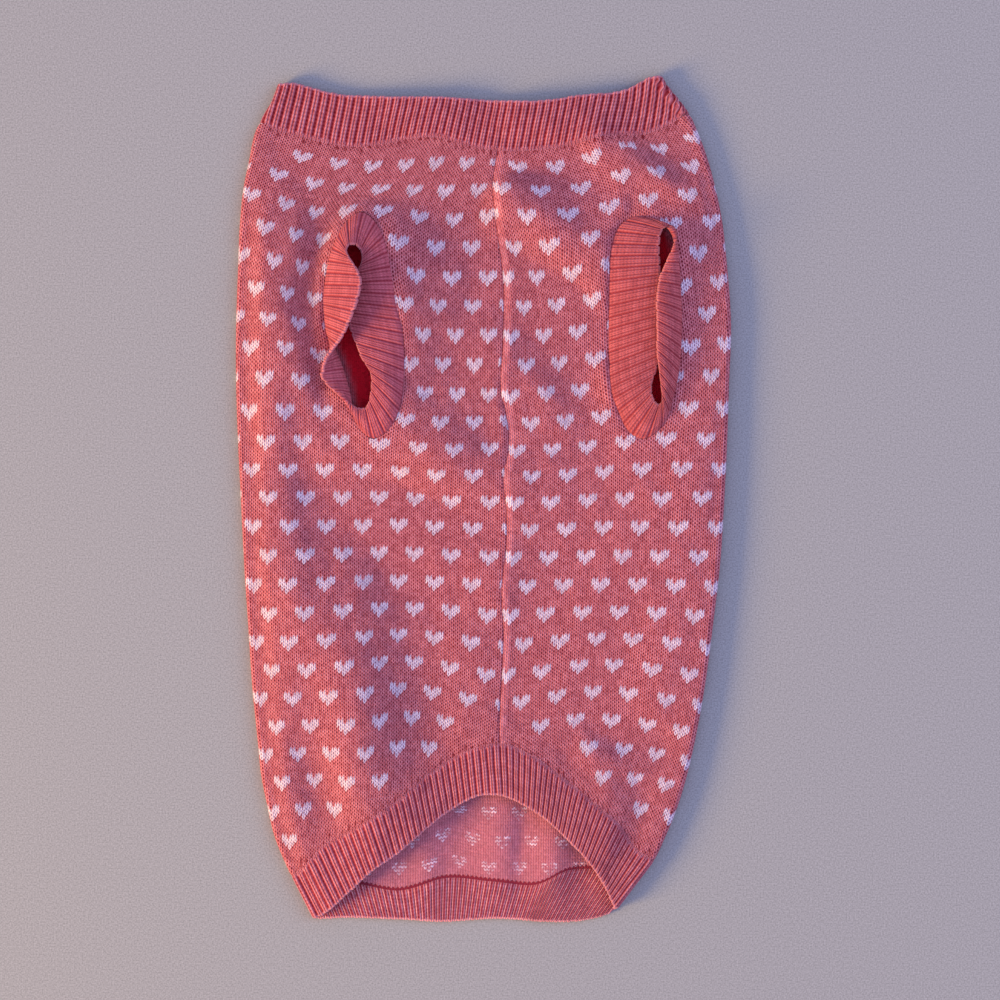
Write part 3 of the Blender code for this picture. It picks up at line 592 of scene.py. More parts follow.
def dense_line(rows):
    """The stations of a fold as a smooth line, about one point for each 2.5 mm."""
    rows = np.array(rows, float)
    padded = np.concatenate([[2 * rows[0] - rows[1]], rows, [2 * rows[-1] - rows[-2]]])
    points = []
    for i in range(len(rows) - 1):
        a, b, c, d = padded[i : i + 4]
        count = max(2, int(np.hypot(*(c - b)[:2]) / 2.5))
        for t in np.arange(count) / count:
            points.append(0.5 * (2 * b + (c - a) * t + (2 * a - 5 * b + 4 * c - d) * t**2 + (3 * b - a - 3 * c + d) * t**3))
    points.append(rows[-1])
    return np.array(points)


def fold_relief(x, y, rows, even=3.0):
    """Height of one fold at the points x, y, without kinks between stations."""
    line = dense_line(rows)
    middle = 0.5 * (line[:-1] + line[1:])
    ahead = np.diff(line[:, :2], axis=0)
    length = np.hypot(*ahead.T)
    ahead = ahead / length[:, None]
    best = np.full(x.shape, np.inf)
    for (ux, uy), size, start in zip(ahead, length, line[:-1]):
        t = np.clip((x - start[0]) * ux + (y - start[1]) * uy, 0, size)
        best = np.minimum(best, np.hypot(x - start[0] - t * ux, y - start[1] - t * uy))
    total = np.zeros(x.shape)
    crest, left, right, side = (np.zeros(x.shape) for _ in range(4))
    for (ux, uy), at in zip(ahead, middle):
        dx, dy = x - at[0], y - at[1]
        weight = np.exp(-np.minimum((dx**2 + dy**2 - best**2) / (2 * even**2), 60.0))
        total += weight
        crest += weight * at[2]
        left += weight * at[3]
        right += weight * at[4]
        side += weight * (ux * dy - uy * dx)
    crest, left, right, side = crest / total, left / total, right / total, side / total
    blend = 0.5 + 0.5 * np.tanh(side / 3.0)
    reach = right + (left - right) * blend
    return crest * np.exp(-((best / reach) ** 2))


def bumps(x, y, rows):
    total = np.zeros(np.shape(x))
    for at_x, at_y, height, reach_along, reach_across, turn in rows:
        c, s = math.cos(math.radians(turn)), math.sin(math.radians(turn))
        u = ((x - at_x) * c + (y - at_y) * s) / reach_along
        v = ((y - at_y) * c - (x - at_x) * s) / reach_across
        total = total + height * np.exp(-(u**2) - v**2)
    return total


def soft_noise(seed, low, high, size):
    """Smooth even noise on the relief grid, its waves from low to high mm long."""
    shape = (len(GRID_X), len(GRID_Y))
    field = np.fft.fft2(np.random.default_rng(seed).standard_normal(shape))
    fx = np.fft.fftfreq(shape[0])[:, None]
    fy = np.fft.fftfreq(shape[1])[None, :]
    f = np.hypot(fx, fy)
    keep = np.exp(-((f * low) ** 2)) * (1 - np.exp(-((f * high) ** 2)))
    made = np.real(np.fft.ifft2(field * keep))
    return size * made / made.std()


def grid_reader(values):
    """Catmull-Rom reading of a field on the relief grid."""

    def weights(t):
        return (
            0.5 * (-(t**3) + 2 * t**2 - t),
            0.5 * (3 * t**3 - 5 * t**2 + 2),
            0.5 * (-3 * t**3 + 4 * t**2 + t),
            0.5 * (t**3 - t**2),
        )

    def read(x, y):
        qx = np.clip(x - GRID_X[0], 1.0, len(GRID_X) - 3.001)
        qy = np.clip(y - GRID_Y[0], 1.0, len(GRID_Y) - 3.001)
        i, j = np.floor(qx).astype(int), np.floor(qy).astype(int)
        wx, wy = weights(qx - i), weights(qy - j)
        total = np.zeros(np.shape(x))
        for a in range(4):
            for b in range(4):
                total = total + wx[a] * wy[b] * values[i + a - 1, j + b - 1]
        return total

    return read


mesh_x, mesh_y = np.meshgrid(GRID_X, GRID_Y, indexing="ij")
raised = np.full(mesh_x.shape, CLOTH_RISE)
for fold_rows in FOLDS.values():
    raised = raised + fold_relief(mesh_x, mesh_y, fold_rows)
raised = raised + bumps(mesh_x, mesh_y, WAVES) + soft_noise(7, 16.0, 42.0, 0.16) + soft_noise(11, 7.0, 14.0, 0.045)
read_raised = grid_reader(raised)
read_back = grid_reader(bumps(mesh_x, mesh_y, BACK_WAVES) * np.clip((-130.0 - mesh_y) / 14.0, 0, 1))


def right_puff(y):
    """How much rounder the right side fold stands than the left, less at the neck."""
    return 0.9 * np.clip((162.0 - y) / 60.0, 0, 1)


def seam_roll(x, y, right_panel):
    """The rolled edge of each belly panel at the join, and the dip beside it."""
    away = np.abs(x - seam_of(y))
    height = smooth(SEAM_ROLL, 1 if right_panel else 2)(y)
    other = smooth(SEAM_ROLL, 2 if right_panel else 1)(y)
    width = smooth(SEAM_ROLL, 3)(y)
    t = np.clip(away / (0.9 * width), 0, 1)
    hump = t * t * (3 - 2 * t) * np.exp(-((away / (1.9 * width)) ** 2))
    dip = -0.1 * other * np.exp(-((away / 2.2) ** 2))
    return 0.68 * height * hump - 0.1 * np.exp(-((away / 0.55) ** 2)) + dip


def belly_height(x, y, right_panel=None):
    """Middle of the belly panel's wall above the surface."""
    total = read_raised(x, y)
    total = 0.5 * (total + np.sqrt(total**2 + 1.0))
    if right_panel is not None:
        total = total + seam_roll(x, y, right_panel)
    lying = BODY_WALL * 1.5 + LAY_GAP + total
    across_belly = np.clip((x + 60.0) / 120.0, 0, 1)
    edge = BODY_WALL / 2 + 2 * SIDE_FOLD_RADIUS + 2 * right_puff(y) * across_belly
    inside = 1.0
    for away, reach in ((x - left_of(y), EDGE_ROLL * 1.15), (right_of(y) - x, EDGE_ROLL * 0.65)):
        t = np.clip((away - FOLD_INSET) / reach, 0, 1)
        inside = inside * t * t * (3 - 2 * t)
    return edge + (lying - edge) * inside


def middle_of(zone, part, x, y, thickness, rolled=False):
    """Points in the middle of the tube's wall."""
    shape = np.broadcast(zone, x).shape
    zone, part = np.broadcast_to(zone, shape), np.broadcast_to(part, shape)
    lift = (thickness - BODY_WALL) / 2
    right = belly_height(x, y, True if rolled else None) + lift
    left = belly_height(x, y, False if rolled else None) + lift
    turn = np.pi * part
    right_high = SIDE_FOLD_RADIUS + right_puff(y)
    z = np.select(
        [zone == 0, zone == 4, zone == 1, zone == 3],
        [
            right,
            left,
            thickness / 2 + right_high * (1 + np.cos(turn)),
            thickness / 2 + SIDE_FOLD_RADIUS * (1 - np.cos(turn)),
        ],
        thickness / 2 + np.minimum(read_back(x, y), np.maximum(read_raised(x, y) - 0.2, 0.0) + 8.0 * np.clip((hem_seam_belly(x) - 22.0 - y) / 10.0, 0, 1)),
    )
    return np.stack([x, y, z], -1)


# ---------------------------------------------------------------- meshes


def grid_normals(middle, closed=False):
    """Unit normals of a grid of points, and even where it turns sharply."""
    if closed:
        round_way = np.roll(middle, -1, axis=0) - np.roll(middle, 1, axis=0)
    else:
        round_way = np.gradient(middle, axis=0)
    normal = np.cross(round_way, np.gradient(middle, axis=1))
    normal /= np.maximum(np.linalg.norm(normal, axis=2), 1e-9)[..., None]
    return normal


def rounding(distance, radius):
    """Share of the wall's thickness left at a distance from a free edge."""
    t = np.clip(1 - distance / radius, 0, 1)
    return np.sqrt(np.maximum(1 - t**2, 0.05))


def pinch(distance):
    """Share of the wall's thickness left at a distance from a linked seam."""
    t = np.clip(distance / SEAM_PINCH, 0, 1)
    return 0.72 + 0.28 * t * t * (3 - 2 * t)


def rib_profile(phase):
    """Height of a rib from its valley, 0, to its crest, 1: two legs of stitches
    with a fine line between them."""
    t = np.abs(2 * (phase - np.floor(phase)) - 1)
    ease = np.clip((0.86 - t) / 0.46, 0, 1)
    return ease * ease * (3 - 2 * ease) - 0.16 * np.exp(-((t / 0.16) ** 2))


def double_rib_profile(phase):
    """The same for a rib of two wales."""
    t = np.abs(2 * (phase - np.floor(phase)) - 1)
    ease = np.clip((0.97 - t) / 0.3, 0, 1)
    return ease * ease * (3 - 2 * ease) - 0.14 * np.exp(-((t / 0.1) ** 2))


def strips(count, columns):
    """The first column of each strip that a long grid is cut into for its map."""
    return [round(columns * k / count) for k in range(count + 1)]


def shell(name, outer, inner, maps, closed, finishes, outer_cuts, inner_share, keep=None):
    """A closed thin shell between two grids, with its maps: knit (wales and
    courses), trim (distance from a linked seam, place along it), band (distance
    from a rib band, ribs along it), motif (1 where the chart has its hearts) and
    one for the bake. Cells that keep leaves out are an armhole."""
    columns, rows = outer.shape[:2]
    n = columns * rows
    index = np.arange(n).reshape(columns, rows)
    ahead = np.roll(index, -1, axis=0) if closed else index[1:]
    here = index if closed else index[:-1]
    count = len(here)
    a, b = here[:, :-1], here[:, 1:]
    c, d = ahead[:, 1:], ahead[:, :-1]
    kept = np.ones(a.shape, bool) if keep is None else keep
    kept_i, kept_j = np.nonzero(kept)
    quads = [np.stack([a, b, c, d], -1)[kept]]
    quads.append(np.stack([a, d, c, b], -1)[kept] + n)
    rims = [
        np.stack([here[:, 0], ahead[:, 0], ahead[:, 0] + n, here[:, 0] + n], -1),
        np.stack([ahead[:, -1], here[:, -1], here[:, -1] + n, ahead[:, -1] + n], -1),
    ]
    if not closed:
        first, last = index[0], index[-1]
        rims.append(np.stack([first[1:], first[:-1], first[:-1] + n, first[1:] + n], -1))
        rims.append(np.stack([last[:-1], last[1:], last[1:] + n, last[:-1] + n], -1))
    if keep is not None:
        ring = []
        for first, last, di, dj in ((a, b, -1, 0), (b, c, 0, 1), (c, d, 1, 0), (d, a, 0, -1)):
            open_side = kept & ~np.roll(kept, (-di, -dj), (0, 1))
            ring.append(np.stack([last, first, first + n, last + n], -1)[open_side])
        rims.append(np.concatenate(ring))
    faces = np.concatenate(quads + rims)
    points = np.concatenate([outer.reshape(-1, 3), inner.reshape(-1, 3)]) * MM

    middle = quads[0][len(quads[0]) // 2]
    facing = np.cross(points[middle[2]] - points[middle[0]], points[middle[3]] - points[middle[1]])
    if facing @ (points[middle[0]] - points[middle[0] + n]) < 0:
        faces = faces[:, ::-1]
        flipped = True
    else:
        flipped = False

    used, compact = np.unique(faces, return_inverse=True)
    data = bpy.data.meshes.new(name)
    data.from_pydata(points[used].tolist(), [], compact.reshape(faces.shape).tolist())
    for layer, values in maps.items():
        corners = values.reshape(-1, 2)[faces % n]
        data.uv_layers.new(name=layer).data.foreach_set("uv", corners.reshape(-1).astype(np.float32))

    # The map for the bake: the outer face in strips side by side, the inner face
    # in the same strips above it, and the rims in thin bands at the top
    bake = np.zeros((len(faces), 4, 2))
    cuts = strips(outer_cuts, count)
    low, rim_room = 0.004, 0.03
    room = {0: (0.0, 1 - inner_share - rim_room), 1: (1 - inner_share - rim_room, inner_share)}
    per_side = len(kept_i)
    order = np.array([3, 2, 1, 0]) if flipped else np.array([0, 1, 2, 3])
    corner_i = {0: np.array([0, 0, 1, 1]), 1: np.array([0, 1, 1, 0])}
    corner_j = {0: np.array([0, 1, 1, 0]), 1: np.array([0, 0, 1, 1])}
    face_i, face_j = kept_i, kept_j
    for side in (0, 1):
        base, share = room[side]
        band = share / outer_cuts
        for k in range(outer_cuts):
            pick = (face_i >= cuts[k]) & (face_i < cuts[k + 1])
            i = (face_i[pick][:, None] + corner_i[side][order] - cuts[k]) / (cuts[k + 1] - cuts[k])
            j = (face_j[pick][:, None] + corner_j[side][order]) / (rows - 1)
            rows_of = np.flatnonzero(pick) + side * per_side
            bake[rows_of, :, 0] = low + i * (1 - 2 * low)
            bake[rows_of, :, 1] = base + band * k + low + j * (band - 2 * low)
    at = 2 * per_side
    thin = rim_room / len(rims)
    for k, rim in enumerate(rims):
        m = len(rim)
        along_rim = np.arange(m)[:, None] + np.array([0, 1, 1, 0])[order]
        if k in (1, 2, 4):
            along_rim = np.arange(m)[:, None] + np.array([1, 0, 0, 1])[order]
        deep = np.array([0, 0, 1, 1])[order]
        bake[at : at + m, :, 0] = low + along_rim / m * (1 - 2 * low)
        bake[at : at + m, :, 1] = 1 - rim_room + thin * k + 0.0005 + deep * (thin - 0.001)
        at += m
    data.uv_layers.new(name="OFBake").data.foreach_set("uv", bake.reshape(-1).astype(np.float32))
    data.uv_layers.active = data.uv_layers["OFBake"]

    for finish in finishes:
        data.materials.append(finish)
    slots = np.zeros(len(faces), np.int32)
    slots[per_side : 2 * per_side] = len(finishes) - 1
    data.polygons.foreach_set("material_index", slots)
    data.polygons.foreach_set("use_smooth", np.ones(len(faces), bool))
    data.update()
    made = bpy.data.objects.new(name, data)
    bpy.context.scene.collection.objects.link(made)
    return made


# ---------------------------------------------------------------- materials


class Net:
    """Short names for the nodes of one material."""

    def __init__(self, name):
        self.material = bpy.data.materials.new(name)
        self.material.use_nodes = True
        self.tree = self.material.node_tree
        self.shader = self.tree.nodes["Principled BSDF"]

    def put(self, socket, value):
        if isinstance(value, bpy.types.NodeSocket):
            self.tree.links.new(value, socket)
        else:
            socket.default_value = value

    def math(self, kind, *values, clamp=False):
        node = self.tree.nodes.new("ShaderNodeMath")
        node.operation, node.use_clamp = kind, clamp
        for socket, value in zip(node.inputs, values):
            self.put(socket, value)
        return node.outputs[0]

    def add(self, a, b, clamp=False):
        return self.math("ADD", a, b, clamp=clamp)

    def sub(self, a, b, clamp=False):
        return self.math("SUBTRACT", a, b, clamp=clamp)

    def mul(self, a, b, clamp=False):
        return self.math("MULTIPLY", a, b, clamp=clamp)

    def ease(self, value, low, high):
        """0 below low, 1 above high, smooth between; low may be the larger."""
        node = self.tree.nodes.new("ShaderNodeMapRange")
        node.interpolation_type = "SMOOTHSTEP"
        for key, given in (("Value", value), ("From Min", low), ("From Max", high), ("To Min", 0.0), ("To Max", 1.0)):
            self.put(node.inputs[key], given)
        return node.outputs["Result"]

    def uv(self, name):
        node = self.tree.nodes.new("ShaderNodeUVMap")
        node.uv_map = name
        split = self.tree.nodes.new("ShaderNodeSeparateXYZ")
        self.tree.links.new(node.outputs["UV"], split.inputs[0])
        return split.outputs[0], split.outputs[1]

    def vector(self, *values):
        node = self.tree.nodes.new("ShaderNodeCombineXYZ")
        for socket, value in zip(node.inputs, values):
            self.put(socket, value)
        return node.outputs[0]

    def place(self):
        return self.tree.nodes.new("ShaderNodeTexCoord").outputs["Object"]

    def noise(self, at, scale, detail=1.0, rough=0.5):
        node = self.tree.nodes.new("ShaderNodeTexNoise")
        self.put(node.inputs["Vector"], at)
        node.inputs["Scale"].default_value = scale
        node.inputs["Detail"].default_value = detail
        node.inputs["Roughness"].default_value = rough
        return node.outputs["Fac"]

    def white(self, at):
        node = self.tree.nodes.new("ShaderNodeTexWhiteNoise")
        node.noise_dimensions = "3D"
        self.put(node.inputs["Vector"], at)
        return node.outputs["Value"]

    def mix(self, share, a, b, kind="MIX"):
        node = self.tree.nodes.new("ShaderNodeMix")
        node.data_type, node.blend_type = "RGBA", kind
        for socket, value in zip((node.inputs[0], node.inputs[6], node.inputs[7]), (share, a, b)):
            self.put(socket, value)
        return node.outputs[2]

    def scale(self, colour, factor):
        node = self.tree.nodes.new("ShaderNodeVectorMath")
        node.operation = "SCALE"
        self.put(node.inputs[0], colour[:3] if isinstance(colour, tuple) else colour)
        self.put(node.inputs["Scale"], factor)
        return node.outputs[0]

    def finish(self, colour, height, depth, roughness=0.92, sheen=0.12, tint=(1.0, 0.6, 0.6, 1.0)):
        self.put(self.shader.inputs["Base Color"], colour)
        self.shader.inputs["Roughness"].default_value = roughness
        self.shader.inputs["Specular IOR Level"].default_value = 0.15
        self.shader.inputs["Sheen Weight"].default_value = sheen
        self.shader.inputs["Sheen Roughness"].default_value = 0.5
        self.shader.inputs["Sheen Tint"].default_value = tint
        bump = self.tree.nodes.new("ShaderNodeBump")
        bump.inputs["Strength"].default_value = 1.0
        bump.inputs["Distance"].default_value = depth * MM
        self.put(bump.inputs["Height"], height)
        self.put(self.shader.inputs["Normal"], bump.outputs["Normal"])
        return self.material


LEAN = 0.85         # how far a stitch's legs slant, in courses
RIM_PAINTED_HIGHLIGHT = 0.75          # strength of the painted highlight along a free rib edge
EYE_AT = 0.35       # where the eye between two stitches lies, in courses
# Each yarn has its own colour, a lighter copy painted as highlight on the legs, and a deep copy painted as shade in
# eyes, gaps and rib valleys; the triples below list them in that order
CORAL = (0.630, 0.122, 0.150, 1.0)
CORAL_PAINTED_HIGHLIGHT = (0.840, 0.330, 0.360, 1.0)
CORAL_PAINTED_SHADE = (0.190, 0.0065, 0.016, 1.0)
RIB_YARN = ((0.580, 0.103, 0.134, 1.0), (0.710, 0.310, 0.355, 1.0), (0.190, 0.005, 0.011, 1.0))
CUFF_YARN = ((0.550, 0.094, 0.120, 1.0), (0.760, 0.260, 0.285, 1.0), (0.180, 0.006, 0.016, 1.0))
# Right cuff: a warmer copy of the cuff yarn, painted warm light on its wall that faces the low lamp
RIGHT_CUFF_YARN_PAINTED_WARM_LIGHT = ((0.550, 0.089, 0.102, 1.0), (0.775, 0.255, 0.245, 1.0), (0.180, 0.006, 0.013, 1.0))
# Inner face of the hem band: a lighter copy of the rib yarn, painted light
HEM_INSIDE_YARN_PAINTED_LIGHT = ((0.700, 0.150, 0.185, 1.0), (0.900, 0.420, 0.450, 1.0), (0.260, 0.012, 0.022, 1.0))
WHITE = (0.70, 0.50, 0.60, 1.0)
WHITE_PAINTED_HIGHLIGHT = (1.0, 0.91, 0.97, 1.0)
WHITE_PAINTED_SHADE = (0.27, 0.12, 0.21, 1.0)
REVERSE = (0.64, 0.230, 0.265, 1.0)
REVERSE_DEEP = (0.29, 0.032, 0.058, 1.0)
REVERSE_WHITE = (0.86, 0.66, 0.74, 1.0)
# Painted shade: the deep red of the reverse inside the armhole openings
REVERSE_ARMHOLE_PAINTED_SHADE = (0.720, 0.008, 0.024, 1.0)


def heart_mask(net, u, row):
    """1 where the chart has a white stitch: hearts six wales apart in rows of
    eight courses, each row of hearts set half a repeat over from the last."""
    block = net.math("FLOOR", net.math("DIVIDE", row, 8.0))
    rr = net.sub(row, net.mul(block, 8.0))
    half = net.math("FRACT", net.mul(block, 0.5))
    shift = net.mul(net.sub(0.5, half), 8.0)
    column = net.sub(net.math("FLOOR", u), shift)
    cc = net.sub(column, net.mul(net.math("FLOOR", net.math("DIVIDE", net.add(column, 0.25), 9.0)), 9.0))
    a = net.math("ABSOLUTE", net.sub(cc, 2.0))
    width = net.math("MINIMUM", net.sub(3.5, rr), 2.5)
    inside = net.math("LESS_THAN", a, width)
    # The yarns on both sides crowd the outermost stitches
    out = net.sub(net.sub(u, net.add(net.sub(column, cc), shift)), 2.5)
    narrow = net.mul(net.math("GREATER_THAN", out, -2.12), net.math("LESS_THAN", out, 2.38))
    inside = net.mul(inside, narrow)
    notch = net.mul(net.math("LESS_THAN", rr, 0.5), net.math("LESS_THAN", a, 0.5))
    return net.mul(inside, net.sub(1.0, notch))


def seam_dark(net, wide=0.8):
    """0 to 1, a thin dark line of linking stitches along a sewn seam."""
    distance, run = net.uv("trim")
    dot = net.ease(net.math("ABSOLUTE", net.sub(net.math("FRACT", run), 0.5)), 0.45, 0.1)
    return net.mul(net.ease(distance, wide, 0.1), net.add(0.35, net.mul(dot, 0.35)))


def band_dark(net, row):
    """0 to 1, painted shade of the valleys of a rib band running on into the plain
    knit as a few dark eyes, each rib its own length."""
    distance, run = net.uv("band")
    rib_number = net.math("FLOOR", net.add(run, 0.5))
    t = net.math("ABSOLUTE", net.sub(run, rib_number))
    valley = net.ease(t, 0.30, 0.10)
    chance = net.white(net.vector(rib_number, 3.0, 0.5))
    reach = net.add(0.9, net.mul(chance, 3.4))
    eye = net.add(0.45, net.mul(net.white(net.vector(rib_number, row, 4.5)), 0.55))
    return net.mul(net.mul(net.ease(distance, reach, net.mul(reach, 0.55)), valley), eye)


def jacquard_face(name):
    net = Net(name)
    u, v = net.uv("knit")
    at = net.place()
    fray = net.sub(net.noise(at, 2200.0, 1.0), 0.5)
    uu = net.add(u, net.mul(fray, 0.16))
    d = net.math("ABSOLUTE", net.sub(net.mul(net.math("FRACT", uu), 2.0), 1.0))
    v = net.add(v, 0.2)
    uu = net.sub(uu, 0.12)
    leaned = net.add(net.add(v, net.mul(d, LEAN)), net.mul(fray, 0.2))
    row = net.math("FLOOR", leaned)
    fv = net.math("FRACT", leaned)
    motif, join = net.uv("motif")
    heart = net.mul(heart_mask(net, uu, row), net.math("GREATER_THAN", motif, 0.5))
    # The belly join: a thin dark line, and painted highlight on the right panel's rolled edge
    join = net.mul(join, -1.0)
    left_panel = net.math("GREATER_THAN", join, 99.0)
    away = net.sub(join, net.mul(left_panel, 100.0))
    near_join = net.math("GREATER_THAN", join, 0.005)
    join_line = net.mul(net.mul(near_join, net.ease(away, 0.75, 0.25)), 0.62)
    ridge = net.mul(net.mul(net.ease(away, 0.4, 0.9), net.ease(away, 4.4, 2.8)), net.mul(near_join, net.sub(1.0, left_panel)))
    # Two slanting legs to a stitch with painted highlight, and painted shade in the eye between their tops
    leg = net.sub(1.0, net.math("POWER", net.math("ABSOLUTE", net.sub(net.mul(d, 1.85), 1.0)), 2.0), clamp=True)
    plump = net.sub(1.0, net.math("POWER", net.math("ABSOLUTE", net.sub(net.mul(fv, 2.0), 1.0)), 2.2))
    fe = net.math("FRACT", net.add(v, EYE_AT))
    eye_u = net.math("POWER", net.math("DIVIDE", d, 0.42), 2.0)
    eye_v = net.math("POWER", net.math("DIVIDE", net.sub(fe, 0.5), 0.30), 2.0)
    eye = net.mul(net.math("EXPONENT", net.mul(net.add(eye_u, eye_v), -1.0)), 1.5, clamp=True)
    fg = net.math("FRACT", net.add(v, EYE_AT + 0.5))
    gap_u = net.math("POWER", net.math("DIVIDE", net.sub(1.0, d), 0.38), 2.0)
    gap_v = net.math("POWER", net.math("DIVIDE", net.sub(fg, 0.5), 0.30), 2.0)
    gap = net.mul(net.math("EXPONENT", net.mul(net.add(gap_u, gap_v), -1.0)), 1.15)
    stitch = net.white(net.vector(net.math("FLOOR", u), row, 0.5))
    fuzz = net.noise(at, 2600.0, 2.0)
    patch = net.noise(at, 420.0, 1.0)
    crease = net.add(net.mul(net.sub(1.0, plump), 0.33), net.mul(net.sub(1.0, leg), 0.12))
    crease = net.add(crease, net.mul(net.ease(d, 0.76, 1.0), 0.24))
    # Painted shade in the eyes, gaps and creases of the stitches and where rib valleys run on, with the dark seam
    # lines
    dark = net.math("MAXIMUM", net.math("MAXIMUM", eye, gap), crease)
    dark = net.mul(dark, net.add(0.66, net.mul(patch, 0.62)), clamp=True)
    dark = net.mul(dark, net.sub(1.0, net.mul(ridge, 0.45)))
    dark = net.math("MAXIMUM", dark, net.math("MAXIMUM", net.mul(seam_dark(net), 0.4), band_dark(net, row)))
    dark = net.math("MAXIMUM", dark, join_line)
    # Painted highlight along the legs of each stitch, and on the right panel's rolled edge at the join
    highlight_share = net.mul(net.mul(net.add(0.35, net.mul(leg, 0.65)), net.add(0.3, net.mul(plump, 0.7))), net.add(0.55, net.mul(stitch, 0.6)), clamp=True)
    highlight_share = net.math("MAXIMUM", highlight_share, net.mul(ridge, net.add(0.18, net.mul(stitch, 0.28))))
    shade = net.add(0.82, net.add(net.mul(stitch, 0.22), net.mul(net.sub(fuzz, 0.5), 0.60)))
    coral = net.mix(dark, net.mix(highlight_share, CORAL, CORAL_PAINTED_HIGHLIGHT), CORAL_PAINTED_SHADE)
    white = net.mix(net.mul(dark, 0.9), net.mix(highlight_share, WHITE, WHITE_PAINTED_HIGHLIGHT), WHITE_PAINTED_SHADE)
    colour = net.mix(heart, net.scale(coral, shade), net.scale(white, net.add(net.mul(shade, 0.6), 0.44)))
    body = net.mul(net.add(0.3, net.mul(leg, 0.7)), net.add(0.4, net.mul(plump, 0.6)))
    height = net.sub(body, net.mul(net.math("MAXIMUM", eye, gap), 0.6))
    height = net.add(height, net.add(net.mul(heart, 0.3), net.mul(net.sub(fuzz, 0.5), 0.5)))
    return net.finish(colour, height, 0.42)


def jacquard_reverse(name):
    net = Net(name)
    u, v = net.uv("knit")
    at = net.place()
    fray = net.sub(net.noise(at, 1800.0, 1.0), 0.5)
    uu = net.add(u, net.mul(fray, 0.25))
    vv = net.add(v, net.mul(fray, 0.25))
    row = net.math("FLOOR", vv)
    fv, fu = net.math("FRACT", vv), net.math("FRACT", uu)
    motif, armhole_painted_shade = net.uv("motif")
    heart = net.mul(heart_mask(net, uu, row), net.math("GREATER_THAN", motif, 0.5))
    # Fine upright streaks of the floats, and purl bumps where the hearts are
    streak = net.math("ABSOLUTE", net.sub(net.mul(net.math("FRACT", net.mul(uu, 2.0)), 2.0), 1.0))
    wave = net.mul(net.math("COSINE", net.mul(fu, 2 * math.pi)), 0.16)
    bar = net.sub(1.0, net.math("POWER", net.math("ABSOLUTE", net.mul(net.sub(net.add(fv, wave), 0.5), 2.1)), 2.0), clamp=True)
    fuzz = net.noise(at, 2600.0, 2.0)
    stitch = net.white(net.vector(net.math("FLOOR", uu), row, 1.5))
    dark = net.add(net.mul(net.ease(streak, 0.35, 1.0), 0.92), net.mul(net.sub(1.0, bar), 0.14))
    dark = net.mul(dark, net.add(0.6, net.mul(net.noise(at, 600.0, 1.0), 0.8)), clamp=True)
    shade = net.add(0.84, net.add(net.mul(stitch, 0.2), net.mul(net.sub(fuzz, 0.5), 0.4)))
    # Painted shade: the reverse turns deep red inside the armhole openings
    armhole_painted_shade = net.math("MAXIMUM", armhole_painted_shade, 0.0)
    coral = net.scale(net.mix(armhole_painted_shade, net.mix(dark, REVERSE, REVERSE_DEEP), REVERSE_ARMHOLE_PAINTED_SHADE), shade)
    worn = net.ease(net.noise(at, 520.0, 1.0), 0.30, 0.62)
    dash = net.mul(net.mul(heart, net.ease(bar, 0.3, 0.85)), net.mul(worn, net.add(0.40, net.mul(stitch, 0.55))))
    colour = net.mix(dash, coral, net.scale(REVERSE_WHITE, shade))
    distance, run = net.uv("trim")
    scallop = net.mul(net.math("ABSOLUTE", net.sub(net.math("FRACT", run), 0.5)), 1.9)
    line = net.mul(net.ease(net.math("ABSOLUTE", net.sub(net.add(distance, scallop), 1.2)), 1.2, 0.65), 0.95)
    colour = net.mix(line, colour, (0.22, 0.012, 0.03, 1.0))
    height = net.add(net.mul(bar, 0.3), net.add(net.mul(net.sub(1.0, streak), 0.5), net.mul(net.sub(fuzz, 0.5), 0.5)))
    height = net.add(net.sub(height, net.mul(line, 1.5)), net.mul(dash, 0.5))
    return net.finish(colour, height, 0.35)


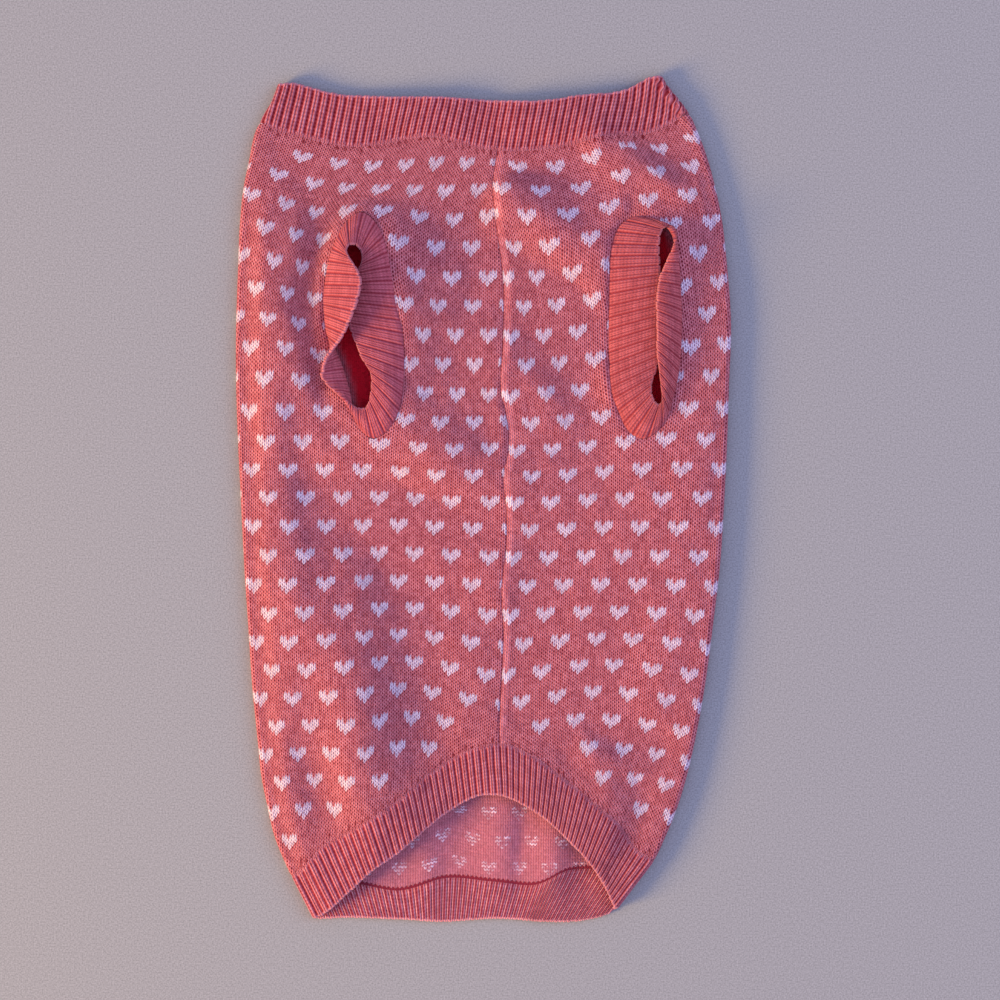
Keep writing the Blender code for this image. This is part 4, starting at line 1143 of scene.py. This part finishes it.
def rib_knit(name, wales, valley_painted_shade, edge, highlight_strength, yarn):
    """One-by-one rib, its stitches in wales knit columns to a rib, that starts as
    plain knit where it is knitted on. Its valleys are painted dark as shade, to the
    strength given, between the purl bumps, and begin and end at the two places
    across the rib in edge. Its yarn is a middle colour, a light one painted as
    highlight on the legs to the strength given, and a deep one painted as shade
    in the valleys, eyes and gaps."""
    net = Net(name)
    u, v = net.uv("knit")
    at = net.place()
    fray = net.sub(net.noise(at, 2200.0, 1.0), 0.5)
    rib_number = net.math("FLOOR", u)
    t = net.math("ABSOLUTE", net.sub(net.mul(net.sub(u, rib_number), 2.0), 1.0))
    t = net.add(t, net.mul(fray, 0.12))
    run, unused = net.uv("band")
    chance = net.white(net.vector(rib_number, 5.0, 0.5))
    opened = net.ease(run, net.mul(chance, 1.0), net.add(1.3, net.mul(chance, 2.2)))
    plain = net.math("ABSOLUTE", net.sub(net.mul(net.math("FRACT", net.add(net.mul(u, 2.0), 0.5)), 2.0), 1.0))
    if wales == 1:
        d = net.math("DIVIDE", t, 0.62)
    else:
        d = net.math("ABSOLUTE", net.sub(net.math("DIVIDE", t, 0.42), 1.0))
    ridge = net.ease(t, *edge)
    ridge = net.sub(1.0, net.mul(opened, net.sub(1.0, ridge)))
    d = net.add(net.mul(d, opened), net.mul(plain, net.sub(1.0, opened)))
    near = net.math("MINIMUM", d, 1.0)
    leaned = net.add(net.add(v, net.mul(near, 0.85)), net.mul(fray, 0.2))
    fv = net.math("FRACT", leaned)
    leg = net.sub(1.0, net.math("POWER", net.math("ABSOLUTE", net.sub(net.mul(d, 1.8), 1.0)), 2.0), clamp=True)
    plump = net.sub(1.0, net.math("POWER", net.math("ABSOLUTE", net.sub(net.mul(fv, 2.0), 1.0)), 2.2))
    fe = net.math("FRACT", net.add(v, 0.2))
    eye_u = net.math("POWER", net.math("DIVIDE", d, 0.40), 2.0)
    eye_v = net.math("POWER", net.math("DIVIDE", net.sub(fe, 0.5), 0.40), 2.0)
    eye = net.math("EXPONENT", net.mul(net.add(eye_u, net.mul(eye_v, 0.8)), -1.0))
    purl = net.math("ABSOLUTE", net.sub(net.mul(net.math("FRACT", net.add(v, 0.5)), 2.0), 1.0))
    stitch = net.white(net.vector(rib_number, net.math("FLOOR", leaned), 2.5))
    fuzz = net.noise(at, 2600.0, 2.0)
    # Painted shade in the valleys between ribs, in the eyes, and in the gaps where the rib starts as plain knit
    valley = net.mul(net.mul(net.sub(1.0, ridge), valley_painted_shade), net.add(0.70, net.mul(purl, 0.42)))
    crease = net.mul(net.sub(1.0, net.mul(leg, net.add(0.6, net.mul(plump, 0.4)))), 0.42)
    fg = net.math("FRACT", net.add(v, 0.7))
    gap_u = net.math("POWER", net.math("DIVIDE", net.sub(1.0, plain), 0.38), 2.0)
    gap_v = net.math("POWER", net.math("DIVIDE", net.sub(fg, 0.5), 0.30), 2.0)
    gap = net.mul(net.math("EXPONENT", net.mul(net.add(gap_u, gap_v), -1.0)), net.sub(1.0, opened))
    even_rib = 1.0 if wales == 1 else 0.55
    dark = net.math("MAXIMUM", net.mul(eye, 0.85 * even_rib), net.math("MAXIMUM", valley, net.mul(crease, net.mul(ridge, even_rib))))
    dark = net.math("MAXIMUM", dark, gap)
    dark = net.mul(dark, net.add(0.74, net.mul(net.noise(at, 500.0, 1.0), 0.52)), clamp=True)
    dark = net.math("MAXIMUM", dark, net.mul(seam_dark(net), 0.35))
    # Painted highlight along the legs of the ribs
    highlight_share = net.mul(net.mul(net.mul(leg, ridge), net.add(0.3, net.mul(plump, 0.7))), net.mul(highlight_strength, net.add(0.6, net.mul(stitch, 0.5))), clamp=True)
    shade = net.add(0.80, net.add(net.mul(stitch, 0.16), net.mul(net.sub(fuzz, 0.5), 0.50)))
    # The cast-on edge is a rounder, fuzzy line, painted paler along it as a highlight
    to_edge, unused = net.uv("motif")
    rim = net.mul(net.ease(to_edge, 1.5, 0.6), RIM_PAINTED_HIGHLIGHT)
    dark = net.mul(dark, net.sub(1.0, rim))
    highlight_share = net.math("MAXIMUM", highlight_share, rim)
    colour = net.scale(net.mix(dark, net.mix(highlight_share, yarn[0], yarn[1]), yarn[2]), shade)
    height = net.add(net.mul(net.mul(leg, ridge), net.add(0.5, net.mul(plump, 0.5))), net.mul(net.sub(fuzz, 0.5), 0.5))
    height = net.sub(height, net.mul(eye, 0.4))
    return net.finish(colour, height, 0.40)


face = jacquard_face("coral_jacquard_face")
reverse = jacquard_reverse("coral_jacquard_reverse")
collar_rib = rib_knit("coral_collar_rib", 1, 0.96, (0.82, 0.52), 0.95, RIB_YARN)
hem_rib = rib_knit("coral_hem_rib", 1, 0.86, (0.88, 0.60), 1.0, RIB_YARN)
# The band's inner face: lighter yarn and darker valleys, painted light and painted shade
hem_rib_inside_painted_light = rib_knit("coral_hem_rib_inside", 1, 0.95, (0.86, 0.56), 1.1, HEM_INSIDE_YARN_PAINTED_LIGHT)
cuff_rib = rib_knit("coral_double_rib_knit", 2, 0.68, (0.97, 0.80), 0.5, CUFF_YARN)
# The right cuff's rib in a warmer copy of the yarn: painted warm light
cuff_rib_painted_warm_light = rib_knit("coral_double_rib_painted_warm_light", 2, 0.68, (0.97, 0.80), 0.5, RIGHT_CUFF_YARN_PAINTED_WARM_LIGHT)


# ---------------------------------------------------------------- pieces


def knit_reader(rows, stations):
    """Wale and course numbers at points, from a table of them."""
    at = np.array([row[0] for row in rows], float)
    order = np.argsort(at)
    width = len(stations)
    wales = [smooth([(row[0], row[1 + k]) for row in rows], 1) for k in range(width)]
    courses = [smooth([(row[0], row[1 + width + k]) for row in rows], 1) for k in range(width)]
    low, high = at[order[0]], at[order[-1]]

    def read(x, y):
        """Past the table's ends the numbers run on at their last slope."""
        inside = np.clip(y, low, high)
        found = []
        for curves in (wales, courses):
            columns = np.stack([c(inside) for c in curves])
            edge = np.where(y < low, -1.0, 1.0)
            step = np.stack([(c(inside) - c(inside - edge * 6.0)) / 6.0 for c in curves])
            columns = columns + step * (y - inside) * edge
            s = np.array(stations)
            i = np.clip(np.searchsorted(s, x) - 1, 0, width - 2)
            pick = lambda k: np.take_along_axis(columns, np.clip(k, 0, width - 1)[None], 0)[0]
            a, b = pick(i), pick(i + 1)
            t = (x - s[i]) / (s[i + 1] - s[i])
            gap = s[i + 1] - s[i]
            before = np.clip(i - 1, 0, width - 1)
            after = np.clip(i + 2, 0, width - 1)
            slope_a = (b - pick(before)) / np.maximum(s[i + 1] - s[before], 1e-6)
            slope_b = (pick(after) - a) / np.maximum(s[after] - s[i], 1e-6)
            c = np.clip(t, 0, 1)
            value = (
                (2 * c**3 - 3 * c**2 + 1) * a
                + (c**3 - 2 * c**2 + c) * gap * slope_a
                + (3 * c**2 - 2 * c**3) * b
                + (c**3 - c**2) * gap * slope_b
            )
            value = value + np.where(t < 0, t * gap * slope_a, 0) + np.where(t > 1, (t - 1) * gap * slope_b, 0)
            found.append(value)
        return found

    return read


read_left, read_right = knit_reader(LEFT_KNIT, LEFT_STATIONS), knit_reader(RIGHT_KNIT, RIGHT_STATIONS)
back_course, back_pitch = smooth(BACK_KNIT, 1), smooth(BACK_KNIT, 2)


def even(value):
    t = np.clip(value, 0, 1)
    return t * t * (3 - 2 * t)


def ring_nearest(x, y, ring):
    """Distance of points to a closed plan line, and the nearest point on it."""
    best = np.full(np.shape(x), np.inf)
    at_x, at_y = np.zeros(np.shape(x)), np.zeros(np.shape(x))
    ahead = np.roll(ring, -1, axis=0) - ring
    for start, (ux, uy) in zip(ring, ahead):
        t = np.clip(((x - start[0]) * ux + (y - start[1]) * uy) / (ux**2 + uy**2), 0, 1)
        px, py = start[0] + t * ux, start[1] + t * uy
        away = np.hypot(x - px, y - py)
        closer = away < best
        best = np.where(closer, away, best)
        at_x, at_y = np.where(closer, px, at_x), np.where(closer, py, at_y)
    return best, at_x, at_y


def in_ring(x, y, ring):
    inside = np.zeros(np.shape(x), bool)
    for (x0, y0), (x1, y1) in zip(ring, np.roll(ring, -1, axis=0)):
        if y0 != y1:
            crossed = (y0 > y) != (y1 > y)
            inside ^= crossed & (x < x0 + (y - y0) / (y1 - y0) * (x1 - x0))
    return inside


def open_armhole(x, y, on_belly, ring):
    """Moves the grid's points by an armhole onto its edge, and says which cells
    of the grid stay."""
    plan = inward(ring, -SEAM_GAP / 2)
    away, at_x, at_y = ring_nearest(x, y, plan)
    inner = in_ring(x, y, plan) & on_belly
    middle_x = 0.25 * (x[:-1, :-1] + x[1:, :-1] + x[:-1, 1:] + x[1:, 1:])
    middle_y = 0.25 * (y[:-1, :-1] + y[1:, :-1] + y[:-1, 1:] + y[1:, 1:])
    cell_in = in_ring(middle_x, middle_y, plan) & on_belly[:-1, :-1] & on_belly[1:, :-1]
    on_edge = (away < 0.6) & on_belly

    def gone(on_edge):
        closed = inner | on_edge
        whole = closed[:-1, :-1] & closed[1:, :-1] & closed[:-1, 1:] & closed[1:, 1:]
        return whole & cell_in

    for _ in range(2):
        kept = ~gone(on_edge)
        touched = np.zeros(x.shape, bool)
        for di in (0, 1):
            for dj in (0, 1):
                touched[di : di + kept.shape[0], dj : dj + kept.shape[1]] |= kept
        on_edge = on_edge | (inner & touched)
    kept = ~gone(on_edge)
    return np.where(on_edge, at_x, x), np.where(on_edge, at_y, y), kept


def ring_angle(x, y, ring):
    centre = ring.mean(axis=0)
    return np.arctan2(y - centre[1], x - centre[0])


LEFT_RING = ring_columns(LEFT_CUFF, 240)[:, :2]
RIGHT_RING = ring_columns(RIGHT_CUFF, 240)[:, :2]
BODY_ROWS = 290


def station_list(spots):
    g = np.array(spots)
    zone = np.minimum(np.floor(g), 4).astype(int)
    return zone, g - zone


def pitch_at(table):
    rows = np.array(table, float)
    return lambda x: np.interp(x, rows[:, 0], rows[:, 1])


def rib_stations(pitches, girth_y, per_rib):
    """Stations round the tube so that each rib has the same number of columns."""
    g = np.linspace(0, 5, 5001)
    zone, part = station_list(g)
    middle = middle_of(zone, part, across(zone, part, girth_y(zone, part)), girth_y(zone, part), RIB_WALL)
    step = np.linalg.norm(np.diff(middle, axis=0), axis=1)
    belly, back = (pitch_at(t) for t in pitches)
    x = middle[:, 0]
    pitch = np.where((zone == 1) | (zone == 2) | (zone == 3), back(x), belly(x))
    phase = np.concatenate([[0], np.cumsum(step / (0.5 * (pitch[1:] + pitch[:-1])))])
    ribs = int(round(phase[-1]))
    phase *= ribs / phase[-1]
    spots = np.interp(np.arange(ribs * per_rib + 1) / per_rib, phase, g)
    spots[0], spots[-1] = 0.0, 5.0
    return spots, np.arange(ribs * per_rib + 1) / per_rib


def collar_mid(zone, part):
    return meeting(zone, part, collar_belly, collar_back) * 0.5 + meeting(zone, part, neck_belly, neck_back) * 0.5


def hem_mid(zone, part):
    return meeting(zone, part, hem_seam_belly, hem_seam_back)


COLLAR_STATIONS = rib_stations((COLLAR_PITCH, ((-103.0, 3.6), (92.0, 3.6))), collar_mid, 10)
HEM_STATIONS = rib_stations((BELLY_HEM_PITCH, BACK_HEM_PITCH), hem_mid, 10)


def rib_count(x, side, stations, belly, back):
    """Rib number along a band's seam on one half of the belly."""
    spots, phase = stations
    zone, part = station_list(spots)
    at = across(zone, part, meeting(zone, part, belly, back))
    mine = zone == side
    return np.interp(x, at[mine], phase[mine])


def hearts_here(u, v, x, y):
    """1 at the hearts that are knitted in whole, 0 where one would run into the
    collar or the hem band and is left out."""
    block = np.floor((v + 2.0) / 8.0)
    shift = (0.5 - (block * 0.5 - np.floor(block * 0.5))) * 8.0
    centre_u = 9.0 * np.floor((u - shift + 2.0) / 9.0) + 2.5 + shift
    heart_x = x + (centre_u - u) * WALE
    heart_y = y - (8.0 * block + 2.0 - v) * COURSE
    below_neck = neck_belly(heart_x) - heart_y
    above_hem = heart_y - hem_seam_belly(heart_x)
    return ((below_neck > 8.2) & (above_hem > 10.9) & ((heart_x > -103.0) | (below_neck > 16.0))).astype(float)


def body_piece(name, spots, zones, ring):
    zone, part = station_list(spots)
    if zones == (0, 1):
        zone, part = np.where(zone == 2, 1, zone), np.where(zone == 2, 1.0, part)
    if zones == (2,):
        zone, part = np.where(zone == 3, 2, zone), np.where(zone == 3, 1.0, part)
    neck = meeting(zone, part, neck_belly, neck_back)
    hem = meeting(zone, part, hem_seam_belly, hem_seam_back)
    rows = BODY_ROWS if zones != (2,) else 150
    x, y = straight_columns(zone, part, neck - 0.02, hem + 0.02, rows)
    z2, p2 = zone[:, None], part[:, None]
    on_belly = np.broadcast_to((z2 == 0) | (z2 == 4), x.shape)
    keep = None
    if ring is not None:
        x, y, keep = open_armhole(x, y, on_belly, ring)
    middle = middle_of(z2, p2, x, y, BODY_WALL, rolled=True)
    normal = grid_normals(middle)
    if zones != (2,):
        i = len(zone) // 2
        if normal[i, rows // 2, 2] < 0:
            normal = -normal
    elif normal[len(zone) // 2, rows // 2, 2] > 0:
        normal = -normal

    # Linked seams: round the armholes, and across the back panel's two ends
    to_neck = np.abs(neck[:, None] - y)
    to_hem = np.abs(y - hem[:, None])
    line = np.where(on_belly, 99.0, np.minimum(to_neck, to_hem))
    dots = x / 2.2
    if ring is not None:
        to_ring = np.where(on_belly, ring_nearest(x, y, ring)[0], 99.0)
        dots = np.where(to_ring < line, ring_angle(x, y, ring) * 24.0, dots)
        line = np.minimum(line, to_ring)
    to_seam = np.where(on_belly, np.abs(x - seam_of(y)), 99.0)
    half = BODY_WALL / 2 * pinch(np.minimum(line, to_seam + 0.5))[..., None]
    outer, inner = middle + normal * half, middle - normal * half

    # Ribs of the collar and hem band run out into the plain knit of the belly
    to_band = np.full(x.shape, 99.0)
    ribs_there = np.zeros(x.shape)
    if zones != (2,):
        side = 0 if zones == (0, 1) else 4
        to_band = np.where(on_belly, np.minimum(to_neck, to_hem * 0.82), 99.0)
        ribs_there = np.where(
            to_neck < to_hem,
            rib_count(x, side, COLLAR_STATIONS, neck_belly, neck_back),
            rib_count(x, side, HEM_STATIONS, hem_seam_belly, hem_seam_back),
        )

    motif = np.ones(x.shape)
    panel = 0.01 if zones == (0, 1) else 100.0
    # The motif map's second channel: on the belly pieces, distance from the belly join; on the back panel, painted
    # shade inside the armholes, where the reverse darkens to deep red and the hearts are left out
    join_and_painted_shade = -np.minimum(to_seam, 50.0) - panel if zones != (2,) else np.zeros(x.shape)
    if zones == (2,):
        for opening in (LEFT_RING, RIGHT_RING):
            join_and_painted_shade = np.maximum(join_and_painted_shade, np.where(in_ring(x, y, opening), even(ring_nearest(x, y, opening)[0] / 4.0), 0.0))
        motif = (join_and_painted_shade < 0.01).astype(float)
    if zones == (3, 4):
        u, v = read_left(x, y)
        motif = np.where(on_belly, hearts_here(u, v, x, y), 1.0)
        edge_x = left_of(y) + FOLD_INSET
        edge_u, edge_v = read_left(edge_x, y)
        arc = (1 - p2) * np.pi * SIDE_FOLD_RADIUS
        u = np.where(z2 == 3, edge_u - arc / WALE, u)
        v = np.where(z2 == 3, edge_v, v)
    elif zones == (0, 1):
        u, v = read_right(x, y)
        motif = np.where(on_belly, hearts_here(u, v + 8.0, x, y), 1.0)
        edge_x = right_of(y) - FOLD_INSET
        edge_u, edge_v = read_right(edge_x, y)
        arc = p2 * np.pi * SIDE_FOLD_RADIUS
        u = np.where(z2 == 1, edge_u + arc / WALE, u)
        v = np.where(z2 == 1, edge_v, v)
        v = v + 8.0
    else:
        v = back_course(y) + 2.2 * np.exp(-(((x + 17.0) / 12.0) ** 2)) * even((-150.0 - y) / 15.0)
        u = 2.5 + 9.0 * (x + 12.25) / back_pitch(y)
    made = shell(
        name,
        outer,
        inner,
        {
            "knit": np.stack([u, v], -1),
            "trim": np.stack([line, dots], -1),
            "band": np.stack([to_band, ribs_there], -1),
            "motif": np.stack([motif, join_and_painted_shade], -1),
        },
        False,
        (face, reverse),
        1,
        0.12 if zones != (2,) else 0.45,
        keep,
    )
    made.data.set_sharp_from_angle(angle=1.05)
    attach(made, "root")
    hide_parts("body_panel")
    return made


def fold_spots(zone_index, count):
    return [zone_index + k / count for k in range(count)]


def belly_reach(width):
    """Stations from the belly join out to a side, fine near the join."""
    reach = np.concatenate([np.arange(0, 7.0, 0.45), np.arange(7.0, width, 1.2)]) / width
    return reach[reach < 0.995]


right_spots = [float(q) for q in belly_reach(112.0)] + fold_spots(1, 9) + [2.0]
left_spots = fold_spots(3, 9) + [4.0] + [5.0 - float(q) for q in belly_reach(131.0)[::-1]]
back_spots = list(np.linspace(2.0, 3.0, 96))

belly_left = body_piece("belly_left", left_spots, (3, 4), LEFT_RING)
belly_right = body_piece("belly_right", right_spots, (0, 1), RIGHT_RING)
back_panel = body_piece("back_panel", back_spots, (2,), None)


def rib_shell(name, node, middle, normal, phase, seam_run, edge_run, profile, closed, finish, cuts, linked, dots, base=None):
    """A rib piece from its seam (row 0) to its free edge. Where linked is 1 it is
    sewn to the panel with a linked seam, and where it is 0 it is knitted on."""
    crest = profile(phase)[:, None]
    under = profile(phase + 0.5)[:, None]
    linked = np.broadcast_to(linked, seam_run.shape)
    fade = (0.35 + 0.65 * even(seam_run / 3.2)) * linked + even(seam_run / 3.6) * (1 - linked)
    half = (BODY_WALL + (RIB_WALL - BODY_WALL) * even(seam_run / 3.0)) / 2
    whole = rounding(edge_run, EDGE_ROUND) * (1 - 0.2 * (1 - even(seam_run / 1.6)) * linked)
    fade = fade * (0.35 + 0.65 * even(edge_run / 1.6))
    outer = middle + normal * ((half - RIB_DEPTH * fade * (1 - crest)) * whole)[..., None]
    inner = middle - normal * ((half - RIB_DEPTH * fade * (1 - under)) * whole)[..., None]
    if base is not None:
        outer[:, 0] = base + np.array([0, 0, BODY_WALL / 2 * 0.8])
        inner[:, 0] = base - np.array([0, 0, BODY_WALL / 2 * 0.8])
    wide = np.broadcast_to(phase[:, None], seam_run.shape)
    made = shell(
        name,
        outer,
        inner,
        {
            "knit": np.stack([wide, seam_run / COURSE], -1),
            "trim": np.stack([np.where(linked > 0.5, seam_run, 99.0), np.broadcast_to(dots[:, None], seam_run.shape)], -1),
            "band": np.stack([seam_run + 12.0 * linked, wide], -1),
            "motif": np.stack([edge_run, wide * 0.0], -1),
        },
        closed,
        finish,
        cuts,
        0.42,
    )
    made.data.set_sharp_from_angle(angle=1.25)
    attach(made, "root")
    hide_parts(node)
    return made


def edge_rows(count, length):
    """Rows from 0 to 1 that close up towards the free edge."""
    w = np.linspace(0, 1, count + 1)
    near = np.array([1 - 1.1 / length, 1 - 0.7 / length, 1 - 0.35 / length, 1 - 0.12 / length])
    w = w[w < near[0] - 0.3 / length]
    return np.concatenate([w, near, [1.0]])


def scallop(w, phase, profile, length, seed, size):
    """The free edge reaches a little further at each rib than between them."""
    number = np.floor(phase).astype(int)
    chance = np.random.default_rng(seed).uniform(-0.7, 0.7, number.max() + 2)
    out = size * (profile(phase) - 0.6 + chance[number] * profile(phase))
    return w * (1 + (out / length)[:, None] * w**3)


# Collar, from the neck seam up to its free edge
spots, phase = COLLAR_STATIONS
zone, part = station_list(spots)
w = scallop(edge_rows(16, 24.0)[None, :], phase, rib_profile, 24.0, 21, 0.28)



def collar_level(share):
    """Distances round the tube at a level of the collar, on an even set of stations."""
    g = np.linspace(0, 5, 4001)
    at_zone, at_part = station_list(g)
    low_edge = meeting(at_zone, at_part, neck_belly, neck_back)
    high_edge = meeting(at_zone, at_part, collar_belly, collar_back)
    at = across(at_zone, at_part, low_edge + (high_edge - low_edge) * share)
    step = np.abs(np.diff(at))
    bend = (at_zone[1:] == at_zone[:-1]) & np.isin(at_zone[1:], (1, 3))
    step = np.where(bend, np.pi * SIDE_FOLD_RADIUS * np.diff(g), step)
    return g, np.concatenate([[0], np.cumsum(step)])


# Ribs keep their distance from the belly join, and pass round the sides as the
# collar narrows towards its edge
g, run_low = collar_level(0.0)
shares = np.linspace(0, 1, 7)
place = []
for share in shares:
    run_here = collar_level(share)[1]
    start = np.interp(spots, g, run_low)
    move = even((start - 84.0) / (run_low[-1] - 168.0))
    place.append(np.interp(start + (run_here[-1] - run_low[-1]) * move, run_here, g))
place = np.array(place).T
place[0], place[-1] = 0.0, 5.0
there = np.stack([np.interp(q, shares, row) for q, row in zip(np.minimum(w, 1.0), place)])
wide_zone, wide_part = station_list(there)
low_edge = meeting(wide_zone, wide_part, neck_belly, neck_back)
high_edge = meeting(wide_zone, wide_part, collar_belly, collar_back)
y = low_edge + (high_edge - low_edge) * w
x = across(wide_zone, wide_part, y)
over = even((x + 60.0) / 30.0) * even((92.0 - x) / 14.0) * (0.55 + 0.25 * np.exp(-(((x - 66.0) / 20.0) ** 2)))
y = low_edge + (high_edge - low_edge - over) * w
seam_run = np.abs(y - low_edge)
edge_run = np.abs(y[:, -1:] - y)
knitted_on = np.isin(zone, (0, 4)).astype(float)
thick = BODY_WALL + (RIB_WALL - BODY_WALL) * even(seam_run / 3.0)
middle = middle_of(wide_zone, wide_part, x, y, thick, rolled=True)
normal = grid_normals(middle)
if normal[20, 5, 2] < 0:
    normal = -normal
collar = rib_shell(
    "collar_rib", "neck_collar", middle, normal, phase, seam_run, edge_run, rib_profile, False, (collar_rib,), 5, (1 - knitted_on)[:, None], phase * 2
)

# Hem band, from the hem seam to its free edge
spots, phase = HEM_STATIONS
zone, part = station_list(spots)
x, y = hem_columns(zone, part, 26)
w_even = np.linspace(0, 1, 27)
w = scallop(edge_rows(26, 24.0)[None, :], phase, rib_profile, 24.0, 22, 0.28)
w = np.clip(w * (1 + 0.045 * np.where(zone == 2, np.sin(np.pi * np.clip(part, 0, 1)) ** 0.4, 0.0))[:, None], 0, 1.08)
step_x, step_y = x[:, -1:] - x[:, -2:-1], y[:, -1:] - y[:, -2:-1]
x = np.stack([np.interp(q, w_even, row) for q, row in zip(w, x)]) + np.maximum(w - 1, 0) * 26 * step_x
y = np.stack([np.interp(q, w_even, row) for q, row in zip(w, y)]) + np.maximum(w - 1, 0) * 26 * step_y
run = np.concatenate([np.zeros((len(zone), 1)), np.cumsum(np.hypot(np.diff(x, axis=1), np.diff(y, axis=1)), axis=1)], axis=1)
knitted_on = np.isin(zone, (0, 4)).astype(float)
thick = BODY_WALL + (RIB_WALL - BODY_WALL) * even(run / 3.0)
middle = middle_of(zone[:, None], part[:, None], x, y, thick, rolled=True)
normal = grid_normals(middle)
if normal[20, 10, 2] < 0:
    normal = -normal
hem_band = rib_shell(
    "hem_rib", "hem_band", middle, normal, phase, run, run[:, -1:] - run, rib_profile, False, (hem_rib, hem_rib_inside_painted_light), 5, (1 - knitted_on)[:, None], phase * 2
)


def even_ring(table, count):
    """The cuff's columns, evenly spaced round the ring between its seam and edge."""
    ring = ring_columns(table, 2600)
    seam_step = np.hypot(*(np.roll(ring[:, 0:2], -1, axis=0) - ring[:, 0:2]).T)
    edge_step = np.linalg.norm(np.roll(ring[:, 2:5], -1, axis=0) - ring[:, 2:5], axis=1)
    step = 0.5 * seam_step / seam_step.sum() + 0.5 * edge_step / edge_step.sum()
    run = np.concatenate([[0], np.cumsum(step)])
    q = np.interp(np.arange(count) / count, run, np.arange(2601))
    closed = np.concatenate([ring, ring[:1]])
    return np.stack([np.interp(q, np.arange(2601), closed[:, k]) for k in range(ring.shape[1])], 1)


def round_blur(values, width):
    """Smooths closed columns over about width stations."""
    n = len(values)
    f = np.fft.fftfreq(n)
    keep = np.exp(-2 * (np.pi * f * width) ** 2)
    return np.real(np.fft.ifft(np.fft.fft(values, axis=0) * keep.reshape(-1, *([1] * (values.ndim - 1))), axis=0))


def cuff(name, node, table, ribs, per_rib, seed, stand, finish):
    count = ribs * per_rib
    ring = even_ring(table, count)
    seam = inward(round_blur(ring[:, 0:2], per_rib * 0.12), SEAM_GAP / 2)
    ring = round_blur(ring, per_rib * 0.5)
    start = np.column_stack([seam, belly_height(seam[:, 0], seam[:, 1])])
    end = ring[:, 2:5].copy()
    end[:, 2] = start[:, 2] + (end[:, 2] - start[:, 2]) * stand
    knee = start + (end - start) * ring[:, 5:6]
    knee[:, 2] += 2 * ring[:, 6]
    phase = np.arange(count) / per_rib
    w = scallop(edge_rows(24, 26.0)[None, :], phase, double_rib_profile, 26.0, seed, 0.75)[..., None]
    middle = (1 - w) ** 2 * start[:, None] + 2 * w * (1 - w) * knee[:, None] + w**2 * end[:, None]
    round_way = np.roll(middle, -1, axis=0) - np.roll(middle, 1, axis=0)
    up_way = 2 * (1 - w) * (knee - start)[:, None] + 2 * w * (end - knee)[:, None]
    normal = np.cross(round_way, up_way)
    normal /= np.linalg.norm(normal, axis=2)[..., None]
    normal = round_blur(normal, count / 36 * 1.25)
    normal /= np.linalg.norm(normal, axis=2)[..., None]
    centre = middle[:, 2:3].mean(axis=(0, 1))
    facing = np.sum((middle[:, 2] - centre)[:, :2] * normal[:, 2, :2])
    normal = normal * np.sign(facing)
    step = np.linalg.norm(np.diff(middle, axis=1), axis=2)
    run = np.concatenate([np.zeros((count, 1)), np.cumsum(step, axis=1)], axis=1)
    return rib_shell(
        name, node, middle, normal, phase, run, run[:, -1:] - run, double_rib_profile, True, (finish,), 3, 1.0, phase * 3, start
    )


cuff_left = cuff("cuff_rib_left", "leg_cuff_left", LEFT_CUFF, 38, 14, 23, 1.45, cuff_rib)
cuff_right = cuff("cuff_rib_right", "leg_cuff_right", RIGHT_CUFF, 40, 14, 24, 0.85, cuff_rib_painted_warm_light)

# ---------------------------------------------------------------- floor, light, camera

KEY_AT = (-2.30, -0.90, 0.84)
KEY_POWER = 118.0
FILL_AT = (2.0, 0.5, 1.3)
FILL_POWER = 17.0

floor_net = Net("pale_floor")
grain = floor_net.add(0.45, floor_net.mul(floor_net.noise(floor_net.place(), 1300.0, 2.0), 1.1))
floor_net.put(floor_net.shader.inputs["Base Color"], floor_net.scale((0.335, 0.350, 0.330), grain))
floor_net.shader.inputs["Roughness"].default_value = 0.8
floor_net.shader.inputs["Specular IOR Level"].default_value = 0.1
data = bpy.data.meshes.new("floor")
data.from_pydata([(-3, -3, 0), (3, -3, 0), (3, 3, 0), (-3, 3, 0)], [], [(0, 1, 2, 3)])
data.materials.append(floor_net.material)
floor = bpy.data.objects.new("floor", data)
floor.location = (0, 0, -0.0002)
bpy.context.scene.collection.objects.link(floor)


# A warm soft light low on the left, and a cool even one from all round
key = bpy.data.lights.new("key", "AREA")
key.shape, key.size, key.energy, key.color = "DISK", 0.9, KEY_POWER, (1.0, 0.65, 0.24)
key_light = bpy.data.objects.new("key", key)
key_light.location = KEY_AT
key_light.rotation_mode = "QUATERNION"
key_light.rotation_quaternion = mathutils.Vector(KEY_AT).to_track_quat("Z", "Y")
bpy.context.scene.collection.objects.link(key_light)
fill = bpy.data.lights.new("fill", "AREA")
fill.shape, fill.size, fill.energy, fill.color = "DISK", 1.6, FILL_POWER, (0.62, 0.70, 1.0)
fill_light = bpy.data.objects.new("fill", fill)
fill_light.location = FILL_AT
fill_light.rotation_mode = "QUATERNION"
fill_light.rotation_quaternion = mathutils.Vector(FILL_AT).to_track_quat("Z", "Y")
bpy.context.scene.collection.objects.link(fill_light)

world = bpy.data.worlds.new("studio")
world.use_nodes = True
world.node_tree.nodes["Background"].inputs["Color"].default_value = (0.56, 0.56, 0.95, 1.0)
world.node_tree.nodes["Background"].inputs["Strength"].default_value = 1.0
scene = bpy.context.scene
scene.world = world
scene.view_settings.view_transform = "Standard"
scene.view_settings.look = "None"

lens = bpy.data.cameras.new("camera")
lens.lens, lens.sensor_width = 100.0, 36.0
lens.clip_start, lens.clip_end = 0.05, 20.0
camera = bpy.data.objects.new("camera", lens)
camera.location = (0.00825, -0.001, 0.5 * 100 / 36 + 0.004)
bpy.context.scene.collection.objects.link(camera)
scene.camera = camera
